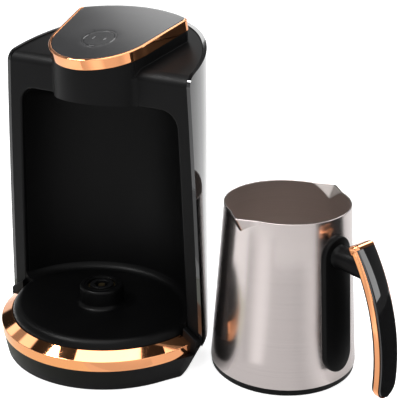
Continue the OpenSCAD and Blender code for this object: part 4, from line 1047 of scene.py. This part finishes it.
edge_r, edge_z = TRAY_R - FLOOR_ROUND, FLOOR_Z - FLOOR_ROUND
rolled = arc(edge_r, edge_z, FLOOR_ROUND, 90, 0, 10) + [(TRAY_R, FLOOR_LOW), (TRAY_R - FLOOR_WALL, FLOOR_LOW)]
rolled += arc(edge_r, edge_z, FLOOR_ROUND - FLOOR_WALL, 0, 90, 8)
wall_s = (FLOOR_Z - SHELL_Z) * math.cos(LEAN)
wall_r = TOWER_R - BAY_INSET - TAPER * wall_s
wall_y = -TOWER_FWD + (FLOOR_Z - SHELL_Z) * math.sin(LEAN)
cove = arc(wall_r - COVE_R, FLOOR_Z + COVE_R, COVE_R, -90, -12, 10)
cove += [(wall_r - 0.02, FLOOR_Z + COVE_R - 1.2), (wall_r - 0.02, FLOOR_Z - FLOOR_WALL)]
tray = join(floor_part(rolled, BASE_Y, False), floor_part(cove, wall_y, True))
add_piece("bay_floor_matt", tray, "tray_black", "machine", ["floor_tray"])

# %% [markdown]
# ## Connector
# In the middle stands the round boss of the cordless connector, with a fillet at its foot and a
# fine groove round the hole. It is turned from one outline. The core in it, with its slots for the
# contacts, is a copy of its solid.

# %% Connector
BOSS_R, BOSS_TOP, BOSS_LOW, BOSS_ROUND, BOSS_FILLET, BOSS_WALL = 14.4, 43.8, 27.0, 1.6, 3.0, 2.2
GROOVE_OUT, GROOVE_IN, GROOVE_D, CORE_HOLE_R, CORE_ROUND = 11.3, 10.45, 0.35, 9.2, 0.4
boss_in = BOSS_R - BOSS_WALL
boss = [(boss_in, BOSS_LOW), (HOLE_R, BOSS_LOW), (HOLE_R, FLOOR_Z), (BOSS_R + BOSS_FILLET, FLOOR_Z)]
boss += arc(BOSS_R + BOSS_FILLET, FLOOR_Z + BOSS_FILLET, BOSS_FILLET, -90, -180, 8)
boss += arc(BOSS_R - BOSS_ROUND, BOSS_TOP - BOSS_ROUND, BOSS_ROUND, 0, 90, 6)
boss += [(GROOVE_OUT, BOSS_TOP), (GROOVE_OUT - 0.15, BOSS_TOP - GROOVE_D),
         (GROOVE_IN + 0.15, BOSS_TOP - GROOVE_D), (GROOVE_IN, BOSS_TOP)]
boss += arc(CORE_HOLE_R + CORE_ROUND, BOSS_TOP - CORE_ROUND, CORE_ROUND, 90, 180, 3)
boss += [(CORE_HOLE_R, BOSS_TOP - BOSS_WALL), (boss_in, BOSS_TOP - BOSS_WALL)]
add_piece("connector_boss_matt", lathe(boss, 128), "tray_black", "machine", ["connector_boss"])
add_copy("connector_core_black", "connector_body", "connector_black", "machine",
         (0.35, 3, 50, lambda e: all(v.co.z > 43.0 for v in e.verts)))

# %% [markdown]
# ## Pot
# The pot is drawn sheet steel: a plain cone with two small pouring lips pressed out of its rim.
# Sculpting the lips out of a finished cone would leave dents in the brushed wall. Here the whole
# pot is one skin of columns. Every column goes up the outside, round the rim and down the inside to
# the floor. Near a lip the wall's radius is the larger one of the cone's and of the lip's facet,
# and a smooth maximum between them gives the soft crease of pressed steel.

# %% Cone
POT_TURN = math.radians(-16.3)
POT_R, POT_RIM_R, POT_H, POT_WALL, RING_H, POT_FLOOR = 46.5, 39.2, 110.0, 0.9, 4.5, 24.0
pot_frame = Matrix.Translation(POT_AT) @ Matrix.Rotation(POT_TURN, 4, "Z")


def wall_radius(z):
    """Outer radius of the cone."""
    return POT_R - (POT_R - POT_RIM_R) * (z - RING_H) / (POT_H - RING_H)


print("pot's radius at half height:", round(wall_radius(POT_H / 2), 2))

# %% Lips
LIP_LOW, LIP_W, LIP_OUT, LIP_BLEND, LIP_RIDGE, LIP_TURN = 100.5, 13.5, 6.2, 0.5, 0.0006, math.radians(32)
low_point = Vector((wall_radius(LIP_LOW), 0, LIP_LOW))
tip = Vector((POT_RIM_R + LIP_OUT, 0, POT_H))
side_point = Vector((math.sqrt(POT_RIM_R ** 2 - LIP_W ** 2), LIP_W, POT_H))
facet = (tip - low_point).cross(side_point - low_point).normalized()
lip_lift = POT_WALL / abs(facet.z)


def lip_radius(angle, z):
    """Radius at which the lip's facet is met, in a direction measured from the lip."""
    across = math.sqrt(math.sin(angle) ** 2 + LIP_RIDGE)
    return (facet.dot(low_point) - facet.z * z) / (facet.x * math.cos(angle) + facet.y * across)


def soft_max(a, b, k):
    """Maximum of two numbers with a rounded change-over."""
    h = max(k - abs(a - b), 0.0) / k
    return max(a, b) + h * h * k / 4


def pot_radius(angle, z, inset=0.0):
    """Radius of the wall's outside or inside; the lips point to -90 and 90 degrees."""
    cone = wall_radius(z) - inset
    off = abs(abs(angle) - math.pi / 2)
    if off > LIP_TURN or z < LIP_LOW - 2:
        return cone
    return soft_max(cone, lip_radius(off, z - (lip_lift if inset else 0.0)), LIP_BLEND)


print("pot's radius at the rim:", POT_RIM_R, "and at a lip:", round(pot_radius(math.pi / 2, POT_H), 2))

# %% Column of the pot
RIM_ROUND, FLOOR_BEND, FINE_Z = POT_WALL / 2, 3.0, 96.0
foot_z, rim_z = RING_H + 2.5, POT_H - RIM_ROUND
heights = [foot_z + (FINE_Z - foot_z) * k / 22 for k in range(23)]
heights += [FINE_Z + (rim_z - FINE_Z) * k / 26 for k in range(1, 27)]


def pot_column(a):
    """Closed outline (radius, height) of the wall at an angle."""
    outside = [(pot_radius(a, z), z) for z in heights]
    inside = [(pot_radius(a, z, POT_WALL), z) for z in heights if z > POT_FLOOR + 4]
    r_out, r_in = outside[-1][0], inside[-1][0]
    middle, half = (r_out + r_in) / 2, (r_out - r_in) / 2
    crown = [(middle + half * math.cos(t), rim_z + RIM_ROUND * math.sin(t)) for t in turns(0, 180, 8)[1:-1]]
    bend = arc(wall_radius(POT_FLOOR + 4) - POT_WALL - FLOOR_BEND, POT_FLOOR + 4, FLOOR_BEND, 0, -90, 6)[1:]
    under = [(0.0, POT_FLOOR + 1), (0.0, POT_FLOOR), (wall_radius(POT_FLOOR) - POT_WALL, POT_FLOOR),
             (wall_radius(RING_H) - POT_WALL, RING_H), (wall_radius(RING_H) - 0.2, RING_H),
             (wall_radius(RING_H), RING_H + 0.25)]
    return outside + crown + inside[::-1] + bend + under


print("points of a column:", len(pot_column(0.0)))

# %% Pot shell
angles = sorted({round(-180 + 1.5 * k, 3) for k in range(240)}
                | {round(s * 90 + 0.5 * k, 3) for s in (-1, 1) for k in range(-52, 53)})
pot = skin(bmesh.new(), [[(r * math.cos(a), r * math.sin(a), z) for r, z in pot_column(a)]
                         for a in map(math.radians, angles)], closed_path=True)
# Faces inside the wall take the second finish, whose paler colour is painted light for the inside of the pot.
for face in pot.faces:
    middle = face.calc_center_median()
    if POT_FLOOR + 0.5 < middle.z < POT_H - 0.6:
        wall = pot_radius(math.atan2(middle.y, middle.x), middle.z)
        face.material_index = int(middle.to_2d().length < wall - POT_WALL / 2)
pot.transform(pot_frame)
add_piece("pot_steel_shell", pot, ["pot_steel", "pot_inside"], "pot", ["pot_shell"], sharp=50)

# %% [markdown]
# ## Pot base
# A black ring closes the pot from below and holds the connector's other half. It is a copy of its
# solid, with a round on the lower outer edge only, because the inner edges guide the connector.

# %% Pot base
def on_rim(e):
    """Lower outer edge of the ring."""
    return all(math.dist(v.co.xy, POT_AT[:2]) > 42 and v.co.z < 5 for v in e.verts)


add_copy("pot_base_black", "pot_base", "pot_black", "pot", (0.5, 3, 50, on_rim))

# %% [markdown]
# ## Side strip
# A long matt strip with round ends covers the rivets on the wall. A flat plate bent by a modifier
# would leave the cone at its ends. So the strip's outline is laid on the cone point by point: rings
# run from a line in the middle of the back, round the edge, to a line in the middle of the face.

# %% Side strip
STRIP_W, STRIP_LOW, STRIP_TOP, STRIP_T, STRIP_ROUND = 11.8, 12.0, 99.0, 2.6, 0.9


def stadium(inset, steps=24):
    """Closed outline of the strip in its own plane (across, height)."""
    radius = max(STRIP_W - inset, 0.0)
    low_z, high_z = STRIP_LOW + STRIP_W, STRIP_TOP - STRIP_W
    rise = [low_z + (high_z - low_z) * k / steps for k in range(1, steps)]
    return (arc(0, high_z, radius, 0, 180, 20) + [(-radius, z) for z in reversed(rise)]
            + arc(0, low_z, radius, 180, 360, 20) + [(radius, z) for z in rise])


def strip_ring(inset, lift):
    """The outline laid on the pot's cone, raised by a thickness."""
    ring = []
    for across, z in stadium(inset):
        radius = wall_radius(z) + lift
        ring.append(pot_frame @ Vector((math.sqrt(radius * radius - across * across), across, z)))
    return ring


shoulder = STRIP_T - STRIP_ROUND
levels = [(STRIP_W * (6 - k) / 6, 0.02) for k in range(7)] + [(0.0, shoulder)]
levels += [(1.0 - math.cos(t), shoulder + STRIP_ROUND * math.sin(t)) for t in turns(0, 90, 4)[1:]]
levels += [(1.3 + (STRIP_W - 1.3) * k / 6, STRIP_T) for k in range(7)]
strip = skin(bmesh.new(), [strip_ring(inset, lift) for inset, lift in levels], caps=False)
add_piece("side_strip_matt", strip, "handle_black", "pot", ["side_strip"])

# %% [markdown]
# ## Handle
# The grip is a curved bar made as a sandwich: a matt inner half, a copper bezel round a glossy
# outer face, and a copper cap that closes the sloping top. All of them are sweeps along one arc. A
# curve object could sweep them, but it would end square, and here the cap's plane cuts every line
# of the sweep at its own angle. The lower end is round: there the sections shrink sideways to a
# point.

# %% Grip sizes
GRIP_R, GRIP_X, GRIP_Z, GRIP_LOW = 130.0, 82.2, 25.0, math.radians(-3.0)
GRIP_W, GRIP_D, BEZEL_T, BEZEL_W, INSERT_UP, CAP_LEN = 16.0, 5.0, 2.0, 0.9, 1.2, 3.0
CAP_Z, CAP_TILT = 100.5, math.radians(24.0)
grip_cx = GRIP_X - GRIP_R
cap_x = grip_cx + math.sqrt(GRIP_R ** 2 - (CAP_Z - GRIP_Z) ** 2)
inner_r, insert_out = GRIP_R - GRIP_D, GRIP_R + BEZEL_T + INSERT_UP
bezel_half = GRIP_W / 2 + 0.4


def cap_angle(r, drop):
    """Angle on the grip's arc of radius r at which the cap's plane, lowered by drop, is met."""
    def is_below(a):
        x, z = grip_cx + r * math.cos(a) - cap_x, GRIP_Z + r * math.sin(a) - CAP_Z
        return z * math.cos(CAP_TILT) - x * math.sin(CAP_TILT) < -drop
    return halve(0.2, 1.2, is_below)


print("grip's top ends at", round(math.degrees(cap_angle(GRIP_R, 0)), 1), "degrees of its arc")


# %% Grip sweep
def grip_point(r, across, a, below=0.0):
    """Point of the grip: radius, sideways, angle, and a straight step below the first angle."""
    x = grip_cx + r * math.cos(a) + below * math.sin(a)
    z = GRIP_Z + r * math.sin(a) - below * math.cos(a)
    return pot_frame @ Vector((x, across, z))


def grip_sweep(section, half, drop, steps=44, round_steps=10):
    """Sweeps a section of (radius, across) with a round lower end and a plane-cut upper end."""
    rows = []
    for t in turns(90, 0, round_steps)[:-1]:
        squeeze = max(math.cos(t), 0.02)
        rows.append([grip_point(r, y * squeeze, GRIP_LOW, half * math.sin(t)) for r, y in section])
    ends = [cap_angle(r, drop) for r, y in section]
    for k in range(steps + 1):
        rows.append([grip_point(r, y, GRIP_LOW + (end - GRIP_LOW) * k / steps)
                     for (r, y), end in zip(section, ends)])
    return skin(bmesh.new(), rows)


# %% Inner half of the grip
FLANK_R, FLANK_IN = 8.6, 1.5
flank = [(GRIP_R + FLANK_IN - FLANK_R * math.cos(t), FLANK_R * math.sin(t)) for t in turns(41, 68.5, 6)]
first_y = flank[0][1]
grip_half = [(inner_r, 0.0), (inner_r, 3.0), (inner_r, first_y - 0.9), (inner_r + 0.25, first_y - 0.1)]
grip_half += [p for p in flank if p[0] > inner_r + 0.6] + [(GRIP_R, GRIP_W / 2), (GRIP_R, 4.0), (GRIP_R, 0.0)]
grip = grip_sweep(mirrored(grip_half), GRIP_W / 2, CAP_LEN)

# %% Neck
NECK_Z, NECK_R, NECK_END_R, NECK_FLARE, NECK_IN, NECK_STEPS = 87.0, 6.5, 8.0, 3.2, 2.5, 12
neck_angle = math.asin((NECK_Z - GRIP_Z) / (GRIP_R - NECK_IN))
neck_start, neck_end = POT_RIM_R + 0.5, grip_cx + (GRIP_R - NECK_IN) * math.cos(neck_angle)


def neck_ring(share):
    """Ring of the neck: flared at the wall, a little flattened and leaning at the grip."""
    x = neck_start + (neck_end - neck_start) * share
    radius = NECK_R + (NECK_END_R - NECK_R) * share + NECK_FLARE * max(0.0, (0.26 - share) / 0.26) ** 2.2
    lean = 0.275 * max(0.0, (share - 0.75) / 0.25)
    return [pot_frame @ Vector((x - lean * radius * math.sin(t), radius * math.cos(t) * (1 - 0.1 * share),
                                NECK_Z + radius * math.sin(t))) for t in turns(0, 360, 48)[:-1]]


neck = skin(bmesh.new(), [neck_ring(k / NECK_STEPS) for k in range(NECK_STEPS + 1)])
add_piece("grip_matt", join(grip, neck), "handle_black", "pot", ["handle_body"])

# %% [markdown]
# ## Copper bezel and cap
# The bezel is a shallow tray of plated plastic. Its rim shows as a narrow line on either side of
# the glossy face, and a fine hem laps over the joint with the inner half, which gives the copper a
# broad side. The cap is one block whose outline is rounded, with a soft upper edge.

# %% Copper bezel and cap
hem, hem_in = GRIP_R - 1.6, GRIP_W / 2 + 0.03
bezel_top, tray_top, bezel_in = GRIP_R + BEZEL_T, GRIP_R + 1.0, bezel_half - BEZEL_W
bezel_section = mirrored([
    (GRIP_R, 0.0), (GRIP_R, 4.0), (GRIP_R, hem_in), (hem + 0.1, hem_in), (hem, hem_in + 0.1),
    (hem, bezel_half - 0.15), (hem + 0.15, bezel_half), (GRIP_R + 0.2, bezel_half),
    (bezel_top - 0.45, bezel_half), (bezel_top - 0.13, bezel_half - 0.13), (bezel_top, bezel_half - 0.45),
    (bezel_top, bezel_in + 0.1), (bezel_top - 0.1, bezel_in), (tray_top, bezel_in), (tray_top, 4.0),
    (tray_top, 0.0)])
bezel = grip_sweep(bezel_section, bezel_half, CAP_LEN - 0.4)
CAP_ROUND = 2.0


def cap_ring(inset, drop):
    """Outline of the cap at a depth below its top plane; low down, its inner side reaches deeper."""
    near, far, wide = inner_r + inset, insert_out - inset, bezel_half - inset
    ring = []
    for r, y in rounded([(near, -wide), (far, -wide), (far, wide), (near, wide)], [3.4, 2.4, 2.4, 3.4], 6):
        deeper = 0.7 * min(max((insert_out - 1.0 - r) / 3.5, 0.0), 1.0) if drop > CAP_ROUND else 0.0
        ring.append(grip_point(r, y, cap_angle(r, drop * (1 + deeper))))
    return ring


depths = [(0.15, CAP_LEN), (0.0, CAP_LEN - 0.15), (0.0, CAP_ROUND)]
depths += [(CAP_ROUND * (1 - math.cos(t)), CAP_ROUND * (1 - math.sin(t))) for t in turns(0, 90, 5)[1:]]
cap = skin(bmesh.new(), [cap_ring(inset, drop) for inset, drop in depths])
add_piece("grip_frame_copper", join(bezel, cap), "copper_trim", "pot", ["handle_trim"])

# %% [markdown]
# ## Glossy insert
# The outer face is a slightly domed gloss strip that lies in the bezel. The dome matters more than
# its 0.6 mm suggest: a flat gloss would mirror one even patch, while a dome gathers the lights to a
# line.

# %% Glossy insert
DOME, INSERT_EDGE = 0.6, 0.8
insert_half = bezel_half - BEZEL_W - 0.03
edge_top = insert_out - DOME - 0.75
face_half = [(tray_top, 0.0), (tray_top, 4.0), (tray_top, insert_half), (edge_top, insert_half)]
face_half += [(edge_top + 0.85 * math.sin(t), insert_half - INSERT_EDGE + INSERT_EDGE * math.cos(t))
              for t in turns(0, 90, 5)[1:]]
face_half += [(insert_out - DOME * (y / insert_half) ** 2, y) for y in (6.0, 5.0, 4.0, 3.0, 2.0, 1.0, 0.0)]
insert = grip_sweep(mirrored(face_half), insert_half, CAP_LEN + 0.05)
add_piece("grip_face_gloss", insert, "gloss_black", "pot", ["handle_insert"])

# %% [markdown]
# ## Fixings
# Screws and feet repeat, so one Geometry Nodes tree sets them. It takes the places as the vertices
# of a mesh, puts the master at each of them with a turn of its own, makes the instances real and
# gives them their finish. A screw is never driven home at the same angle twice. An array modifier
# would need even steps; here the places are read from the CAD solids.

# %% Fixing tree
fixing_tree = bpy.data.node_groups.new("fixings", "GeometryNodeTree")
sockets = {}
for label, kind in (("Places", "Geometry"), ("Master", "Object"), ("Width", "Float"), ("Length", "Float"),
                    ("Most turn", "Float"), ("Seed", "Int"), ("Finish", "Material")):
    socket = fixing_tree.interface.new_socket(label, in_out="INPUT", socket_type="NodeSocket" + kind)
    sockets[label] = socket.identifier
fixing_tree.interface.new_socket("Fixings", in_out="OUTPUT", socket_type="NodeSocketGeometry")
given = add_node(fixing_tree, "NodeGroupInput", (-800, 0)).outputs
made = add_node(fixing_tree, "NodeGroupOutput", (800, 0))
points = add_node(fixing_tree, "GeometryNodeMeshToPoints", (-500, 200))
master = add_node(fixing_tree, "GeometryNodeObjectInfo", (-500, 0))
chance = add_node(fixing_tree, "FunctionNodeRandomValue", (-500, -250), data_type="FLOAT")
axis_turn = add_node(fixing_tree, "ShaderNodeCombineXYZ", (-280, -200))
to_turn = add_node(fixing_tree, "FunctionNodeEulerToRotation", (-100, -200))
size = add_node(fixing_tree, "ShaderNodeCombineXYZ", (-280, -400))
put = add_node(fixing_tree, "GeometryNodeInstanceOnPoints", (100, 100))
real = add_node(fixing_tree, "GeometryNodeRealizeInstances", (320, 100))
dress = add_node(fixing_tree, "GeometryNodeSetMaterial", (540, 100))
link(fixing_tree, (given["Places"], points.inputs["Mesh"]), (points.outputs[0], put.inputs["Points"]),
     (given["Master"], master.inputs["Object"]), (master.outputs["Geometry"], put.inputs["Instance"]),
     (given["Most turn"], chance.inputs[3]), (given["Seed"], chance.inputs["Seed"]),
     (chance.outputs[1], axis_turn.inputs["Z"]), (axis_turn.outputs[0], to_turn.inputs[0]),
     (to_turn.outputs[0], put.inputs["Rotation"]), (given["Width"], size.inputs["X"]),
     (given["Width"], size.inputs["Y"]), (given["Length"], size.inputs["Z"]),
     (size.outputs[0], put.inputs["Scale"]), (put.outputs[0], real.inputs[0]),
     (real.outputs[0], dress.inputs["Geometry"]), (given["Finish"], dress.inputs["Material"]),
     (dress.outputs[0], made.inputs[0]))
print("fixing tree:", len(fixing_tree.nodes), "nodes")

# %% Places
def places_of(*nodes):
    """Middle and lowest height, in mm, of each separate solid in these CAD nodes."""
    places = []
    for node in nodes:
        solids = from_solid(node)
        left = set(solids.verts)
        while left:
            group = edge = {left.pop()}
            while edge:
                edge = {e.other_vert(v) for v in edge for e in v.link_edges} - group
                group = group | edge
            left -= group
            low, high = (Vector([end(v.co[axis] for v in group) for axis in range(3)]) for end in (min, max))
            middle = (low + high) / 2
            places.append(tuple(round(x, 2) for x in (middle.x, middle.y, low.z)))
        solids.free()
    return places


def by_side(place):
    """Order of the places: the left ones from front to back, then the right ones."""
    return (place[0] > 0, place[1])


print("base screws at", sorted(places_of("base_screws"), key=by_side))

# %% Masters
def ring_master(name, profile):
    """A master from (radius, height, corners) rings; a ring with corners is a polygon."""
    sections = []
    for radius, z, corners in profile:
        section = []
        for a in turns(0, 360, 48)[:-1]:
            part = (a % (2 * math.pi / corners) - math.pi / corners) if corners else 0.0
            r = radius * (math.cos(math.pi / corners) / math.cos(part) if corners else 1.0)
            section.append((r * math.cos(a), r * math.sin(a), z))
        sections.append(section)
    shape = skin(bmesh.new(), sections)
    bmesh.ops.recalc_face_normals(shape, faces=shape.faces)
    mesh = bpy.data.meshes.new(name)
    shape.to_mesh(mesh)
    shape.free()
    return bpy.data.objects.new(name, mesh)


def screw(head_r, head_h, shank_r, length):
    """Rings of a pan-head screw that points up, with a six-sided socket in its head."""
    return [(shank_r * 0.6, length, 0), (shank_r, length - 0.8, 0), (shank_r, head_h, 0),
            (head_r - 0.1, head_h, 0), (head_r, head_h - 0.1, 0), (head_r, 0.35, 0),
            (head_r - 0.12, 0.12, 0), (head_r - 0.35, 0.0, 0), (head_r * 0.5, 0.0, 6),
            (head_r * 0.48, 0.05, 6), (head_r * 0.47, 0.6, 6)]


FOOT = [(r, z, 0) for r, z in ((3.2, 0.0), (3.5, 0.25), (4.4, 0.25), (4.7, 0.0), (6.7, 0.0), (6.93, 0.08),
                               (7.0, 0.25), (7.0, 0.6), (6.9, 0.7), (2.33, 0.7), (2.33, 3.5), (2.15, 3.7))]
print("rings of a screw:", len(screw(3.0, 1.0, 1.5, 9.0)), "and of a foot:", len(FOOT))


# %% Screws and feet
def set_fixings(name, profile, places, finish, body, nodes, seed=3):
    """Sets copies of a master at the places and adds them as one piece."""
    shape = ring_master(name + "_master", profile)
    mesh = bpy.data.meshes.new(name + "_places")
    mesh.from_pydata(places, [], [])
    holder = bpy.data.objects.new(name + "_places", mesh)
    for item in (holder, shape):
        scene.collection.objects.link(item)
    setter = holder.modifiers.new("fixings", "NODES")
    setter.node_group = fixing_tree
    for label, value in (("Master", shape), ("Width", 1.0), ("Length", 1.0), ("Most turn", 6.28),
                         ("Seed", seed), ("Finish", FINISH[finish])):
        setter[sockets[label]] = value
    evaluated = holder.evaluated_get(bpy.context.evaluated_depsgraph_get())
    plain = bpy.data.meshes.new_from_object(evaluated)
    holder.modifiers.remove(setter)
    result = bmesh.new()
    result.from_mesh(plain)
    for item in (holder, shape):
        bpy.data.objects.remove(item)
    bpy.data.meshes.remove(plain)
    add_piece(name, result, finish, body, nodes)


set_fixings("base_screws_steel", screw(3.0, 1.0, 1.5, 9.0), sorted(places_of("base_screws"), key=by_side),
            "steel_fixings", "machine", ["base_screws"])
set_fixings("pot_screws_steel", screw(2.5, 1.2, 1.3, 22.5),
            sorted(places_of("pot_base_screws"), key=lambda place: -place[1]), "steel_fixings", "pot",
            ["pot_base_screws"], seed=5)
feet = ["foot_front_left", "foot_front_right", "foot_rear_left", "foot_rear_right"]
set_fixings("feet_rubber", FOOT, sorted(places_of(*feet), key=by_side), "rubber", "machine", feet)

# %% [markdown]
# ## Plate and gland
# The plate that closes the base from below and the rubber gland for the cord are copies of their
# solids, with small rounds on the edges that can be seen.

# %% Plate and gland
add_copy("base_plate_matt", "base_plate", "matt_black", "machine", (0.25, 2, 50, at_foot))
add_copy("cord_gland_rubber", "cord_gland", "gland_black", "machine",
         (0.5, 3, 50, lambda e: all(v.co.y > 50 for v in e.verts)))
